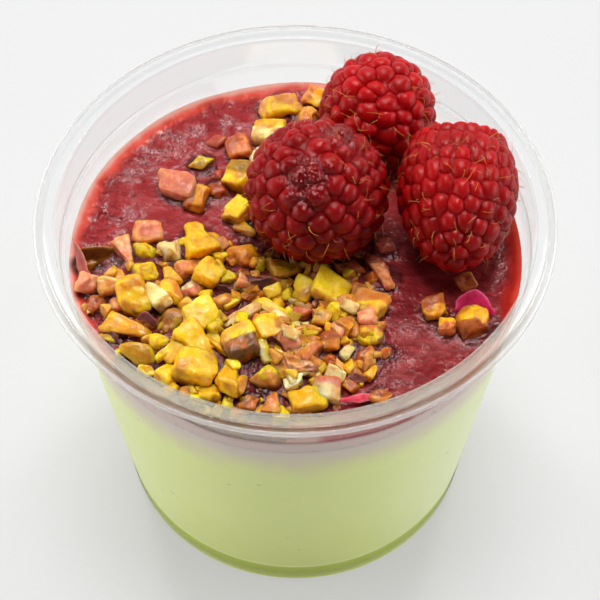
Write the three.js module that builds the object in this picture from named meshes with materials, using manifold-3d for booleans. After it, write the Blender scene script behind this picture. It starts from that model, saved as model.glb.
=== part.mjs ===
// A clear plastic cup of pistachio panna cotta under a berry compote, topped with chopped
// pistachios and three whole raspberries. Millimetres, +Z up. The origin is the middle of
// the foot ring that the cup stands on, and -Y is the side with most of the nuts.

import * as THREE from 'three';
import { ConvexGeometry } from 'three/addons/geometries/ConvexGeometry.js';
import { mergeVertices } from 'three/addons/utils/BufferGeometryUtils.js';
import Module from 'manifold-3d';

const wasm = await Module();
wasm.setup();

// The cup
const CUP_HEIGHT = 69.4;
const RIM_RADIUS = 42.5;
const RIM_FLAT_RADIUS = 41;
const RIM_SHOULDER_RADIUS = 41.95;
const RIM_SKIRT = 1.2;
const MOUTH_RADIUS = 38.8;
const LEDGE_HEIGHT = 62.4;
const LEDGE_WIDTH = 0.35;
const HEEL_HEIGHT = 6.5;
const HEEL_RADIUS = 32.9;
const HEEL_STEP = 0.35;
const FOOT_RADIUS = 32.3;
const FOOT_ROUNDING = 1.1;
const FOOT_RING_OUTER = 31.2;
const FOOT_RING_INNER = 29.6;
const UNDERSIDE_RISE = 1;
const WALL = 0.6;
const WALL_SLOPE = 0.103;
const RIM_EDGE_DROP = 0.5;
const RIM_SHOULDER_DROP = 0.1;
const MOUTH_ROUNDING = 0.3;
const ROUND_SEGMENTS = 48;

// The dessert
const GAP = 0.3;
const FILL_HEIGHT = 58.2;
const COMPOTE_DEPTH = 3;
const COMPOTE_RINGS = 7;
const EDGE_CREEP = 0.7;
const EDGE_CREEP_WIDTH = 3;
const RIPPLE = 0.22;
const RIPPLE_ACROSS = { rate: 0.24, start: 0.9 };
const RIPPLE_ALONG = { rate: 0.19, start: -0.4 };

// Mounds of nuts over the compote: middle, radius and rise
const MOUNDS = [
  { x: -16, y: -22, radius: 15, rise: 3.4 },
  { x: -26, y: -10, radius: 9, rise: 1.8 },
  { x: -2, y: -22, radius: 12, rise: 2.2 },
  { x: -9, y: -6, radius: 9, rise: 1.4 },
  { x: 8, y: -17, radius: 9, rise: 1.4 },
];

// The chopped nuts: kind, place, length, width, height, turn about Z and tilt
const NUTS = [
  ['block', -3.3, 31.7, 7.3, 4.6, 3.7, 25, 8],
  ['block', 3.8, 33.8, 4.1, 3.9, 3.9, 60, 0],
  ['chip', 2.2, 29.9, 5.7, 4.1, 2.8, 0, 10],
  ['block', -4.2, 25.2, 6.8, 5.5, 4.5, -12, -6],
  ['block', -10.0, 21.7, 4.6, 4.1, 3.5, 20, 12],
  ['chip', -16.4, 18.9, 5.2, 3.2, 2.2, 15, 20],
  ['block', -19.9, 13.3, 7.5, 5.2, 3.9, -20, 10],
  ['block', -17.2, 10.9, 4.8, 3.6, 3.7, 75, -8],
  ['half', -13.5, 13.0, 5.0, 4.3, 2.6, -30, 6],
  ['block', -9.9, 15.4, 5.7, 5.2, 4.3, -25, 8],
  ['block', -9.9, 7.6, 4.6, 4.3, 3.9, 50, -10],
  ['block', -24.9, 3.2, 5.0, 3.9, 3.2, 10, 6],
  ['wedge', -28.3, -1.0, 5.2, 3.6, 3.2, -60, 0],
  ['half', -25.3, -0.8, 6.4, 3.9, 2.6, -38, 24],
  ['half', -21.0, -1.0, 6.2, 5.7, 3.7, -30, 10],
  ['wedge', -16.5, 1.6, 7.3, 6.2, 4.5, 110, 8],
  ['half', -8.1, -2.2, 8.7, 5.9, 4.1, -15, -8],
  ['wedge', -1.3, -4.7, 6.2, 4.6, 3.2, 10, 10],
  ['block', -14.0, -6.1, 5.0, 4.6, 3.9, 60, 12],
  ['half', -24.5, -5.8, 6.6, 4.3, 3.2, -25, 16],
  ['block', -26.3, -11.3, 7.3, 5.5, 4.5, -65, 6],
  ['block', -22.4, -11.5, 5.5, 3.4, 3.5, -50, 12],
  ['wedge', -20.0, -10.2, 5.9, 4.3, 3.7, -50, -12],
  ['half', -7.2, -8.6, 10.7, 5.5, 3.7, 5, 12],
  ['half', -12.0, -11.7, 6.2, 4.6, 3.5, -20, 0],
  ['chip', -34.6, -3.1, 5.2, 3.2, 1.9, 5, 30],
  ['block', -33.9, -7.9, 4.1, 3.6, 3.5, 75, 0],
  ['wedge', -26.6, -16.8, 9.6, 4.1, 3.2, -25, 14],
  ['chip', -20.0, -16.2, 7.5, 4.1, 2.2, 20, 26],
  ['block', -15.4, -16.3, 5.5, 4.6, 3.9, 30, 8],
  ['stick', -8.5, -14.5, 8.2, 2.3, 1.9, 39, 0],
  ['stick', -2.9, -13.4, 7.5, 2.4, 2.1, -38, 0],
  ['block', -4.4, -18.1, 5.0, 4.3, 3.7, 20, 10],
  ['half', -21.9, -20.2, 6.4, 4.6, 3.7, -10, 0],
  ['chip', -24.3, -22.6, 9.8, 4.3, 2.4, -22, 32],
  ['wedge', -15.7, -22.0, 9.3, 5.0, 4.3, -45, -8],
  ['block', -8.4, -21.6, 7.1, 5.7, 4.5, 200, 6],
  ['block', -15.5, -26.5, 7.3, 5.7, 4.8, -10, -10],
  ['wedge', -10.4, -26.4, 7.5, 4.3, 3.7, 80, 8],
  ['half', -4.0, -26.7, 7.3, 5.0, 3.5, 15, 0],
  ['block', 5.7, -8.6, 6.4, 5.9, 4.3, -20, 6],
  ['block', 1.5, -8.7, 4.6, 3.9, 3.5, 60, -6],
  ['chip', 0.1, -13.5, 7.3, 3.4, 2.2, -5, 12],
  ['half', 11.2, -18.2, 8.2, 6.2, 3.5, 20, 10],
  ['block', 11.8, -12.1, 6.4, 5.2, 3.0, -30, 0],
  ['wedge', 14.6, -5.7, 6.2, 3.4, 3.0, -70, 10],
  ['chip', 8.8, -3.8, 5.9, 3.6, 2.4, -20, 0],
  ['half', 11.2, -22.6, 6.6, 4.8, 3.0, 70, 14],
  ['block', 4.9, -28.4, 5.2, 4.6, 3.9, -20, 8],
  ['block', 2.3, -30.5, 6.4, 3.9, 3.7, 8, 0],
  ['block', 22.5, -12.6, 4.3, 3.6, 3.0, 15, 0],
  ['half', 29.4, -15.2, 8.2, 6.8, 5.4, 60, 30],
  ['half', -5.9, -4.2, 4.3, 3.4, 2.8, 70, 10],
  ['block', -30.4, -8.7, 4.6, 3.2, 3.2, 20, 8],
  ['chip', -32.4, -11.8, 3.9, 3.4, 2.4, 60, 16],
  ['half', -12.7, -18.6, 4.3, 3.9, 3.2, 0, 10],
  ['block', -20.0, -27.0, 3.2, 3.0, 3.0, 50, 0],
  ['chip', -23.3, -25.6, 4.1, 2.7, 2.2, -20, 20],
  ['half', -1.4, -8.9, 3.9, 3.4, 2.8, 40, 0],
  ['wedge', 7.4, -13.4, 4.8, 3.4, 3.0, 35, 0],
  ['wedge', 8.4, -16.8, 5.2, 3.2, 3.2, 60, 12],
  ['block', 24.5, -16.0, 3.4, 3.0, 2.6, -15, 0],
  ['wedge', -8.2, 4.2, 4.6, 3.0, 2.4, -40, 10],
  ['block', -0.6, -20.9, 3.9, 3.4, 3.0, 30, 10],
  ['chip', 2.0, -17.7, 5.0, 2.7, 1.9, -5, 14],
  ['chip', 2.6, -20.0, 3.9, 2.7, 2.2, 10, 12],
  ['wedge', 2.2, -22.4, 5.2, 4.3, 3.5, 40, 0],
  ['wedge', 0.9, -25.2, 6.2, 4.6, 3.5, -10, 14],
  ['half', 5.6, -23.4, 4.3, 3.9, 3.2, 0, 0],
  ['block', -0.4, -27.6, 3.2, 2.7, 2.6, 10, 0],
  ['wedge', -3.6, -30.8, 4.1, 3.0, 2.6, 80, 10],
  ['stick', -2.7, -23.0, 4.3, 2.1, 2.2, 85, 0],
  ['stick', -4.8, -22.8, 4.8, 2.1, 2.2, -70, 0],
  ['wedge', -8.6, -27.9, 4.1, 3.2, 2.8, 60, 10],
  ['chip', -7.3, -30.8, 4.3, 3.2, 2.4, 30, 12],
  ['chip', 13.3, -29.3, 5.0, 3.4, 2.2, 20, 10],
  ['half', 14.5, -20.8, 3.2, 2.5, 1.9, 30, 0],
  ['half', 15.1, 0.8, 5.2, 4.3, 2.6, -20, 0],
  ['chip', -17.0, -8.4, 4.6, 3.6, 2.4, 15, 8],
  ['block', -17.5, -4.2, 4.3, 3.2, 2.4, 25, 0],
  ['chip', -11.0, -6.9, 4.3, 3.2, 2.2, -30, 20],
  ['chip', -24.2, -15.9, 5.2, 3.0, 1.7, -25, 24],
  ['block', -19.0, -23.2, 4.3, 3.9, 3.2, 25, 10],
  ['wedge', -12.0, -21.8, 5.2, 3.0, 2.6, -55, 0],
  ['block', 5.5, -19.9, 3.6, 3.2, 2.6, 0, 10],
];
const NUT_SINK = 0.24;
const NUT_SEED = 7001;
const NUT_SEED_STEP = 131;
const NUT_LEAST_CORNER = 0.66;
const NUT_CORNER_RANGE = 0.5;
const NUT_PITCH_RANGE = 50;

// Small pieces that fill the mounds between the large ones
const FILLER_COUNT = 20;
const FILLER_SEED = 4021;
const FILLER_SMALLEST = 2.4;
const FILLER_LARGEST = 4;
const FILLER_SPACING = 0.36;
const FILLER_SINK = 0.12;
const FILLER_REACH = 35;
const FILLER_MOUND = 0.35;
const FILLER_KINDS = ['block', 'wedge', 'chip', 'block'];
const FILLER_LEAST_WIDTH = 0.65;
const FILLER_LEAST_HEIGHT = 0.55;
const FILLER_SIZE_RANGE = 0.3;
const FILLER_TILT = 20;

// The raspberries: middle of the widest part, way to the tip, size and drupelet spacing
const RASPBERRIES = [
  {
    name: 'raspberry_front',
    middle: [3.7, 4.9, 67.9],
    tip: [-0.25, -0.42, 0.87],
    radius: 12.0,
    length: 20.5,
    bluntness: 2.3,
    spacing: 4.4,
    seed: 11,
  },
  {
    name: 'raspberry_back',
    middle: [14.1, 24.2, 65.1],
    tip: [0.08, 0.02, 1],
    radius: 10.2,
    length: 18.8,
    bluntness: 2.3,
    spacing: 4.4,
    seed: 23,
  },
  {
    name: 'raspberry_right',
    middle: [26.6, 4.6, 68.8],
    tip: [-0.06, -0.95, -0.27],
    radius: 10.1,
    length: 22.8,
    bluntness: 1.8,
    spacing: 3.8,
    seed: 37,
  },
];
const WIDEST = 0.38;
const OPEN_END_RADIUS = 0.78;
const ROW_SPACING = 0.88;
const DRUPELET_JITTER = 0.16;
const CREASE_DEPTH = 0.45;
const CORNER_DEPTH = 0.85;
const HOLLOW_DEPTH = 4;
const OPEN_END_DROP = 0.5;
const AXIS_START = 0.3;
const AXIS_END = 0.5;
const OUTLINE_STEPS = 200;
const BERRY_FORM_STEPS = 12;
const BERRY_FORM_SEGMENTS = 24;

const DEGREE = Math.PI / 180;

// A seeded stream of numbers from 0 to 1
function randomStream(seed) {
  let state = seed;
  return () => {
    state = (state * 1664525 + 1013904223) % 4294967296;
    return state / 4294967296;
  };
}

// Joining and cutting

function toSolid(geometry) {
  const bare = geometry.clone();
  bare.deleteAttribute('normal');
  bare.deleteAttribute('uv');
  const merged = mergeVertices(bare, 1e-4);
  return new wasm.Manifold(
    new wasm.Mesh({
      numProp: 3,
      vertProperties: new Float32Array(merged.attributes.position.array),
      triVerts: new Uint32Array(merged.index.array),
    }),
  );
}

function toGeometry(solid) {
  const mesh = solid.getMesh();
  const geometry = new THREE.BufferGeometry();
  geometry.setAttribute('position', new THREE.BufferAttribute(mesh.vertProperties, 3));
  geometry.setIndex(new THREE.BufferAttribute(mesh.triVerts, 1));
  geometry.computeVertexNormals();
  return geometry;
}

// The largest body of a solid, without loose scraps or sealed pockets
function mainBody(solid) {
  const bodies = solid.decompose();
  return bodies.reduce((best, body) => (body.volume() > best.volume() ? body : best));
}

// A solid of revolution about Z from [radius, z] points that start and end on the axis
function turned(points, segments = ROUND_SEGMENTS) {
  const profile = points.map(([radius, z]) => new THREE.Vector2(radius, z));
  return new THREE.LatheGeometry(profile, segments).rotateX(Math.PI / 2);
}

// The cup

function outerWall(z) {
  return HEEL_RADIUS + (z - HEEL_HEIGHT) * WALL_SLOPE;
}

function innerWall(z) {
  return outerWall(z) - WALL;
}

function neckRadius(z) {
  const share = (z - LEDGE_HEIGHT) / (CUP_HEIGHT - LEDGE_HEIGHT);
  const bottom = innerWall(LEDGE_HEIGHT) + LEDGE_WIDTH;
  return bottom + (MOUTH_RADIUS - bottom) * share;
}

function makeCup() {
  const floor = UNDERSIDE_RISE + WALL;
  const skirtFoot = CUP_HEIGHT - RIM_SKIRT;
  const outside = [
    [0, UNDERSIDE_RISE],
    [FOOT_RING_INNER - UNDERSIDE_RISE, UNDERSIDE_RISE],
    [FOOT_RING_INNER, 0],
    [FOOT_RING_OUTER, 0],
    [FOOT_RADIUS - FOOT_ROUNDING * 0.3, FOOT_ROUNDING * 0.3],
    [FOOT_RADIUS, FOOT_ROUNDING],
    [HEEL_RADIUS - HEEL_STEP, HEEL_HEIGHT - HEEL_STEP],
    [HEEL_RADIUS, HEEL_HEIGHT],
    [outerWall(LEDGE_HEIGHT), LEDGE_HEIGHT],
    [neckRadius(LEDGE_HEIGHT) + WALL, LEDGE_HEIGHT + LEDGE_WIDTH],
    [MOUTH_RADIUS + WALL, CUP_HEIGHT - WALL],
    [RIM_FLAT_RADIUS, CUP_HEIGHT - WALL],
    [RIM_RADIUS - WALL, skirtFoot],
    [RIM_RADIUS, skirtFoot],
  ];
  const rim = [
    [RIM_RADIUS, CUP_HEIGHT - RIM_EDGE_DROP],
    [RIM_SHOULDER_RADIUS, CUP_HEIGHT - RIM_SHOULDER_DROP],
    [RIM_FLAT_RADIUS, CUP_HEIGHT],
    [MOUTH_RADIUS + MOUTH_ROUNDING, CUP_HEIGHT],
    [MOUTH_RADIUS, CUP_HEIGHT - MOUTH_ROUNDING],
  ];
  const inside = [
    [neckRadius(LEDGE_HEIGHT), LEDGE_HEIGHT + WALL],
    [innerWall(LEDGE_HEIGHT), LEDGE_HEIGHT],
    [innerWall(HEEL_HEIGHT), HEEL_HEIGHT + WALL / 2],
    [HEEL_RADIUS - HEEL_STEP - WALL, HEEL_HEIGHT - HEEL_STEP],
    [FOOT_RADIUS - WALL, FOOT_ROUNDING + WALL / 2],
    [FOOT_RING_OUTER - WALL / 2, WALL],
    [FOOT_RING_INNER + WALL / 2, WALL],
    [FOOT_RING_INNER - UNDERSIDE_RISE + WALL / 2, floor],
    [0, floor],
  ];
  return turned([...outside, ...rim, ...inside]);
}

function makePannaCotta() {
  const floor = UNDERSIDE_RISE + WALL + GAP;
  const top = FILL_HEIGHT - COMPOTE_DEPTH - GAP;
  return turned([
    [0, floor],
    [FOOT_RING_INNER - UNDERSIDE_RISE + WALL, floor],
    [FOOT_RING_INNER + WALL, WALL + GAP],
    [FOOT_RING_OUTER - WALL, WALL + GAP],
    [FOOT_RADIUS - WALL - GAP, FOOT_ROUNDING + WALL + GAP],
    [HEEL_RADIUS - HEEL_STEP - WALL - GAP, HEEL_HEIGHT - HEEL_STEP + GAP],
    [innerWall(HEEL_HEIGHT) - GAP, HEEL_HEIGHT + WALL + GAP],
    [innerWall(top) - GAP, top],
    [0, top],
  ]);
}

// The compote

function moundRise(x, y) {
  return MOUNDS.reduce((rise, mound) => {
    const share = ((x - mound.x) ** 2 + (y - mound.y) ** 2) / mound.radius ** 2;
    return rise + (share < 1 ? mound.rise * (1 - share) ** 2 : 0);
  }, 0);
}

function compoteHeight(x, y) {
  const across = Math.sin(RIPPLE_ACROSS.rate * x + RIPPLE_ACROSS.start);
  const along = Math.cos(RIPPLE_ALONG.rate * y + RIPPLE_ALONG.start);
  const inward = innerWall(FILL_HEIGHT) - GAP - Math.hypot(x, y);
  const creep = Math.max(0, 1 - inward / EDGE_CREEP_WIDTH);
  return FILL_HEIGHT + RIPPLE * across * along + EDGE_CREEP * creep ** 2 + moundRise(x, y);
}

function makeCompoteLayer() {
  const radius = innerWall(FILL_HEIGHT - COMPOTE_DEPTH) - GAP;
  const bottom = FILL_HEIGHT - COMPOTE_DEPTH;
  const positions = [0, 0, compoteHeight(0, 0)];
  const place = (ring, spoke) => {
    const angle = (spoke / ROUND_SEGMENTS) * 2 * Math.PI;
    const reach = (radius * ring) / COMPOTE_RINGS;
    return [reach * Math.sin(angle), reach * Math.cos(angle)];
  };
  for (let ring = 1; ring <= COMPOTE_RINGS; ring += 1) {
    for (let spoke = 0; spoke < ROUND_SEGMENTS; spoke += 1) {
      const [x, y] = place(ring, spoke);
      positions.push(x, y, compoteHeight(x, y));
    }
  }
  for (let spoke = 0; spoke < ROUND_SEGMENTS; spoke += 1) {
    const [x, y] = place(COMPOTE_RINGS, spoke);
    positions.push(x, y, bottom);
  }
  positions.push(0, 0, bottom);
  const last = positions.length / 3 - 1;
  const vertex = (ring, spoke) => 1 + (ring - 1) * ROUND_SEGMENTS + (spoke % ROUND_SEGMENTS);
  const triangles = [];
  for (let spoke = 0; spoke < ROUND_SEGMENTS; spoke += 1) {
    triangles.push(0, vertex(1, spoke + 1), vertex(1, spoke));
    for (let ring = 1; ring <= COMPOTE_RINGS; ring += 1) {
      const [a, b] = [vertex(ring, spoke), vertex(ring, spoke + 1)];
      const [c, d] = [vertex(ring + 1, spoke), vertex(ring + 1, spoke + 1)];
      triangles.push(a, b, d, a, d, c);
    }
    triangles.push(last, vertex(COMPOTE_RINGS + 1, spoke), vertex(COMPOTE_RINGS + 1, spoke + 1));
  }
  const geometry = new THREE.BufferGeometry();
  geometry.setAttribute('position', new THREE.Float32BufferAttribute(positions, 3));
  geometry.setIndex(triangles);
  return geometry;
}

// Chopped nuts: the corners of each kind in a box from -1 to 1, which each piece then varies

function boxCorners(farWidth, farHeight) {
  const corners = [];
  for (const [x, width, height] of [[-1, 1, 1], [1, farWidth, farHeight]]) {
    for (const y of [-1, 1]) {
      for (const z of [-1, 1]) corners.push([x, y * width, z * height]);
    }
  }
  return corners;
}

function ringCorners(count, radius, z) {
  return Array.from({ length: count }, (_, k) => {
    const angle = (k / count) * 2 * Math.PI;
    return [radius * Math.cos(angle), radius * Math.sin(angle), z];
  });
}

const NUT_CORNERS = {
  block: boxCorners(1, 1),
  wedge: boxCorners(0.3, 0.45),
  stick: boxCorners(0.8, 0.8),
  chip: [...ringCorners(5, 1, -0.7), ...ringCorners(4, 0.9, 0.8)],
  half: [...ringCorners(6, 1, -0.8), ...ringCorners(4, 0.72, 0.4), [0, 0, 1]],
};

function nutSolid(piece, index, sink) {
  const [kind, x, y, length, width, height, turn, tilt] = piece;
  const random = randomStream(NUT_SEED + NUT_SEED_STEP * index);
  const vary = () => NUT_LEAST_CORNER + NUT_CORNER_RANGE * random();
  const pitch = NUT_PITCH_RANGE * (random() - 0.5);
  const turning = new THREE.Matrix4().makeRotationZ(turn * DEGREE);
  turning.multiply(new THREE.Matrix4().makeRotationY(pitch * DEGREE));
  turning.multiply(new THREE.Matrix4().makeRotationX(tilt * DEGREE));
  const middle = compoteHeight(x, y) + height * (0.5 - sink);
  const corners = NUT_CORNERS[kind].map(([u, v, w]) => {
    const corner = new THREE.Vector3(
      (u * vary() * length) / 2,
      (v * vary() * width) / 2,
      (w * vary() * height) / 2,
    );
    return corner.applyMatrix4(turning).add(new THREE.Vector3(x, y, middle));
  });
  return toSolid(new ConvexGeometry(corners));
}

// Fillers are drawn inside the mounds and kept only where they don't crowd another piece
function fillerPieces() {
  const random = randomStream(FILLER_SEED);
  const taken = [...NUTS];
  const fillers = [];
  while (fillers.length < FILLER_COUNT) {
    const reach = FILLER_REACH * Math.sqrt(random());
    const angle = random() * 2 * Math.PI;
    const [x, y] = [reach * Math.cos(angle), reach * Math.sin(angle)];
    const length = FILLER_SMALLEST + (FILLER_LARGEST - FILLER_SMALLEST) * random();
    const kind = FILLER_KINDS[Math.floor(random() * FILLER_KINDS.length)];
    const width = length * (FILLER_LEAST_WIDTH + FILLER_SIZE_RANGE * random());
    const height = length * (FILLER_LEAST_HEIGHT + FILLER_SIZE_RANGE * random());
    const turn = random() * 180;
    const tilt = (random() * 2 - 1) * FILLER_TILT;
    const crowded = taken.some(
      (other) => Math.hypot(x - other[1], y - other[2]) < FILLER_SPACING * (length + other[3]),
    );
    if (crowded || moundRise(x, y) < FILLER_MOUND) continue;
    const piece = [kind, x, y, length, width, height, turn, tilt];
    taken.push(piece);
    fillers.push(piece);
  }
  return fillers;
}

// Raspberries: drupelets in staggered rings, each a blunt point with creases round it

// The outline's radius at a share of the length, from the open end at 0 to the tip at 1
function outlineRadius(berry, share) {
  if (share < WIDEST) {
    return 1 - (1 - OPEN_END_RADIUS) * ((WIDEST - share) / WIDEST) ** 2;
  }
  return Math.sqrt(Math.max(0, 1 - ((share - WIDEST) / (1 - WIDEST)) ** berry.bluntness));
}

function berryPlacement(berry) {
  const tip = new THREE.Vector3(...berry.tip).normalize();
  const turn = new THREE.Quaternion().setFromUnitVectors(new THREE.Vector3(0, 0, 1), tip);
  const base = new THREE.Vector3(...berry.middle).addScaledVector(tip, -WIDEST * berry.length);
  return new THREE.Matrix4().compose(base, turn, new THREE.Vector3(1, 1, 1));
}

// A berry's outline as a plain solid, larger than it by the given margin
function berryForm(berry, margin) {
  const points = [[0, -margin]];
  for (let k = 0; k < BERRY_FORM_STEPS; k += 1) {
    const share = k / BERRY_FORM_STEPS;
    const z = share * (berry.length + 2 * margin) - margin;
    points.push([outlineRadius(berry, share) * berry.radius + margin, z]);
  }
  points.push([0, berry.length + margin]);
  return toSolid(turned(points, BERRY_FORM_SEGMENTS).applyMatrix4(berryPlacement(berry)));
}

// Rings stand at even steps along the outline, from the open end's edge to the tip
function outlineShares(berry) {
  const lengths = [0];
  const rise = berry.length / OUTLINE_STEPS;
  const radiusAt = (k) => outlineRadius(berry, k / OUTLINE_STEPS) * berry.radius;
  for (let k = 1; k <= OUTLINE_STEPS; k += 1) {
    lengths.push(lengths[k - 1] + Math.hypot(rise, radiusAt(k) - radiusAt(k - 1)));
  }
  const total = lengths[OUTLINE_STEPS];
  const rows = Math.round(total / (berry.spacing * ROW_SPACING));
  return Array.from({ length: rows + 1 }, (_, row) => {
    const wanted = (total * row) / rows;
    return lengths.findIndex((length) => length >= wanted - 1e-9) / OUTLINE_STEPS;
  });
}

function drupeletTops(berry) {
  const random = randomStream(berry.seed);
  const jitter = () => DRUPELET_JITTER * berry.spacing * (2 * random() - 1);
  const tops = [];
  outlineShares(berry).forEach((share, row) => {
    const radius = outlineRadius(berry, share) * berry.radius;
    const count = Math.max(1, Math.round((2 * Math.PI * radius) / berry.spacing));
    for (let k = 0; k < count; k += 1) {
      const angle = ((k + 0.5 * (row % 2)) / count) * 2 * Math.PI + jitter() / Math.max(radius, 1);
      const z = share * berry.length + (share > 0 && share < 1 ? jitter() : 0);
      const reach = outlineRadius(berry, Math.min(Math.max(z / berry.length, 0), 1)) * berry.radius;
      tops.push(new THREE.Vector3(reach * Math.cos(angle), reach * Math.sin(angle), z));
    }
  });
  return tops;
}

function makeRaspberry(berry) {
  const openEnd = new THREE.Vector3(0, 0, -OPEN_END_DROP);
  const hull = new ConvexGeometry([...drupeletTops(berry), openEnd]).attributes.position;
  const sunk = (point, depth) => {
    const ends = [AXIS_START * berry.length, AXIS_END * berry.length];
    const axisHeight = THREE.MathUtils.clamp(point.z, ...ends);
    const inward = new THREE.Vector3(0, 0, axisHeight).sub(point).normalize();
    return point.clone().addScaledVector(inward, depth);
  };
  const hollow = new THREE.Vector3(0, 0, HOLLOW_DEPTH);
  const top = (point) => (point.distanceTo(openEnd) < 1e-3 ? hollow : point);
  const positions = [];
  for (let face = 0; face < hull.count; face += 3) {
    const corners = [0, 1, 2].map((k) => new THREE.Vector3().fromBufferAttribute(hull, face + k));
    const [a, b, c] = corners;
    const centre = sunk(new THREE.Vector3().add(a).add(b).add(c).divideScalar(3), CORNER_DEPTH);
    corners.forEach((corner, k) => {
      const next = corners[(k + 1) % 3];
      const crease = sunk(corner.clone().add(next).divideScalar(2), CREASE_DEPTH);
      for (const point of [top(corner), crease, centre, crease, top(next), centre]) {
        positions.push(point.x, point.y, point.z);
      }
    });
  }
  const geometry = new THREE.BufferGeometry();
  geometry.setAttribute('position', new THREE.Float32BufferAttribute(positions, 3));
  return geometry.applyMatrix4(berryPlacement(berry));
}

function makeBerryCompote() {
  const pieces = [
    ...NUTS.map((piece, index) => nutSolid(piece, index, NUT_SINK)),
    ...fillerPieces().map((piece, index) => nutSolid(piece, NUTS.length + index, FILLER_SINK)),
  ];
  let solid = pieces.reduce((whole, piece) => whole.add(piece), toSolid(makeCompoteLayer()));
  const bottom = FILL_HEIGHT - COMPOTE_DEPTH;
  const room = turned([
    [0, bottom],
    [innerWall(bottom) - GAP, bottom],
    [innerWall(LEDGE_HEIGHT) - GAP, LEDGE_HEIGHT],
    [innerWall(LEDGE_HEIGHT) - GAP, CUP_HEIGHT],
    [0, CUP_HEIGHT],
  ]);
  solid = solid.intersect(toSolid(room));
  for (const berry of RASPBERRIES) {
    solid = solid.subtract(berryForm(berry, GAP));
  }
  return mainBody(solid);
}

// Assembly

function addPiece(group, name, geometry, colour, roughness) {
  const material = new THREE.MeshStandardMaterial({ color: colour, roughness, metalness: 0 });
  const mesh = new THREE.Mesh(geometry, material);
  mesh.name = name;
  group.add(mesh);
  return mesh;
}

const dessert = new THREE.Group();
const cup = addPiece(dessert, 'cup', makeCup(), 0xe8eeee, 0.08);
cup.material.transparent = true;
cup.material.opacity = 0.25;
addPiece(dessert, 'panna_cotta', makePannaCotta(), 0xc3cf8b, 0.35);
addPiece(dessert, 'berry_compote', toGeometry(makeBerryCompote()), 0x86242a, 0.3);
for (const berry of RASPBERRIES) {
  addPiece(dessert, berry.name, mergeVertices(makeRaspberry(berry), 1e-4), 0xa81c26, 0.4);
}

export default dessert;
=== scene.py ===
"""Looks, light and camera for the cup of pistachio panna cotta.

Everything is modelled in millimetres and written in metres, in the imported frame: +Z up, the
origin at the middle of the foot ring, and the camera on the -Y side.
"""

import math

import bmesh
import bpy
import numpy as np
from mathutils import Matrix, Vector


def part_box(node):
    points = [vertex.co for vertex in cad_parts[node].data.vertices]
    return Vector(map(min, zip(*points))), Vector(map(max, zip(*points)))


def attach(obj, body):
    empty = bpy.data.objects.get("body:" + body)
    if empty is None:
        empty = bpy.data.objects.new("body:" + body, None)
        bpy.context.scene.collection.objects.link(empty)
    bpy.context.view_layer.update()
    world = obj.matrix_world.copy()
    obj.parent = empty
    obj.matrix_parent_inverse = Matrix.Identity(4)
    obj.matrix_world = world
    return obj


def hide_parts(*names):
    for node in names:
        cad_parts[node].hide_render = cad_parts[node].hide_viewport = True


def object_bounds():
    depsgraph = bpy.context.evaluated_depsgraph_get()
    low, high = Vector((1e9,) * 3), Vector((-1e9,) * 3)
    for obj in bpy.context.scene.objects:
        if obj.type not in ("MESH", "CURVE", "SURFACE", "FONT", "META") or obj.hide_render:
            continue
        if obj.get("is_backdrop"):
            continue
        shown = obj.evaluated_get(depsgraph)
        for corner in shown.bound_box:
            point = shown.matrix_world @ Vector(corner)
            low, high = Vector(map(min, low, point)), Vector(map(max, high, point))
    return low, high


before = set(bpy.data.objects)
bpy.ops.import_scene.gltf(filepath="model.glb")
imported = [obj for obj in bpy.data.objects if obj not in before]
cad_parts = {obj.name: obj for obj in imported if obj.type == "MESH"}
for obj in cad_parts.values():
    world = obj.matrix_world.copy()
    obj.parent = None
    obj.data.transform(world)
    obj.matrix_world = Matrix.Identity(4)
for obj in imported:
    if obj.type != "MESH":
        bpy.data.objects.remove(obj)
CAD_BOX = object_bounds()

MM = 0.001

# The camera, fitted to the ellipses of the rim, ledge, filling and foot: place and lens in
# millimetres, pitch below the level in degrees, and the nearest distance seen in metres
CAMERA_PLACE = (0.75, -163.2, 270.98)
CAMERA_PITCH = 54.258
CAMERA_LENS = 95.7
SENSOR_WIDTH = 36
NEAREST_SEEN = 0.01

# The cup, from the frame and the same driving dimensions as the solids
RIM_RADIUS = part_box("cup")[1].x / MM
CUP_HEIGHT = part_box("cup")[1].z / MM
RIM_FLAT_RADIUS = 41
RIM_SHOULDER_RADIUS = 41.95
RIM_SKIRT = 0.9
RIM_BEVEL = 0.25
GROOVE_DEPTH = 0.22
MOUTH_RADIUS = 38.8
LEDGE_HEIGHT = 62.4
LEDGE_WIDTH = 0.35
HEEL_HEIGHT = 6.5
HEEL_RADIUS = 32.9
HEEL_STEP = 0.35
HEEL_LIP = 0.1
FOOT_RADIUS = 32.3
FOOT_ROUNDING = 1.1
FOOT_RING_OUTER = 31.2
FOOT_RING_INNER = 29.6
UNDERSIDE_RISE = 1
WALL = 0.6
WALL_SLOPE = 0.103
NECK_WALL = 0.4
INTO_WALL = 0.45
EDGE_INTO_WALL = 0.2
SHELL_ROUNDING = 0.35
CREAM_ROUNDING = 0.4
ROUNDING_STEPS = 4

# Rings of the wall close under the mouth, either side of the ledge and above the heel, where
# its colour changes
MOUTH_ZONE = 1.1
LEDGE_ZONE = 1.2
UNDER_LEDGE_ZONE = 0.8
HEEL_ZONE = 0.7
INNER_HEEL_ZONE = 0.9

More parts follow.
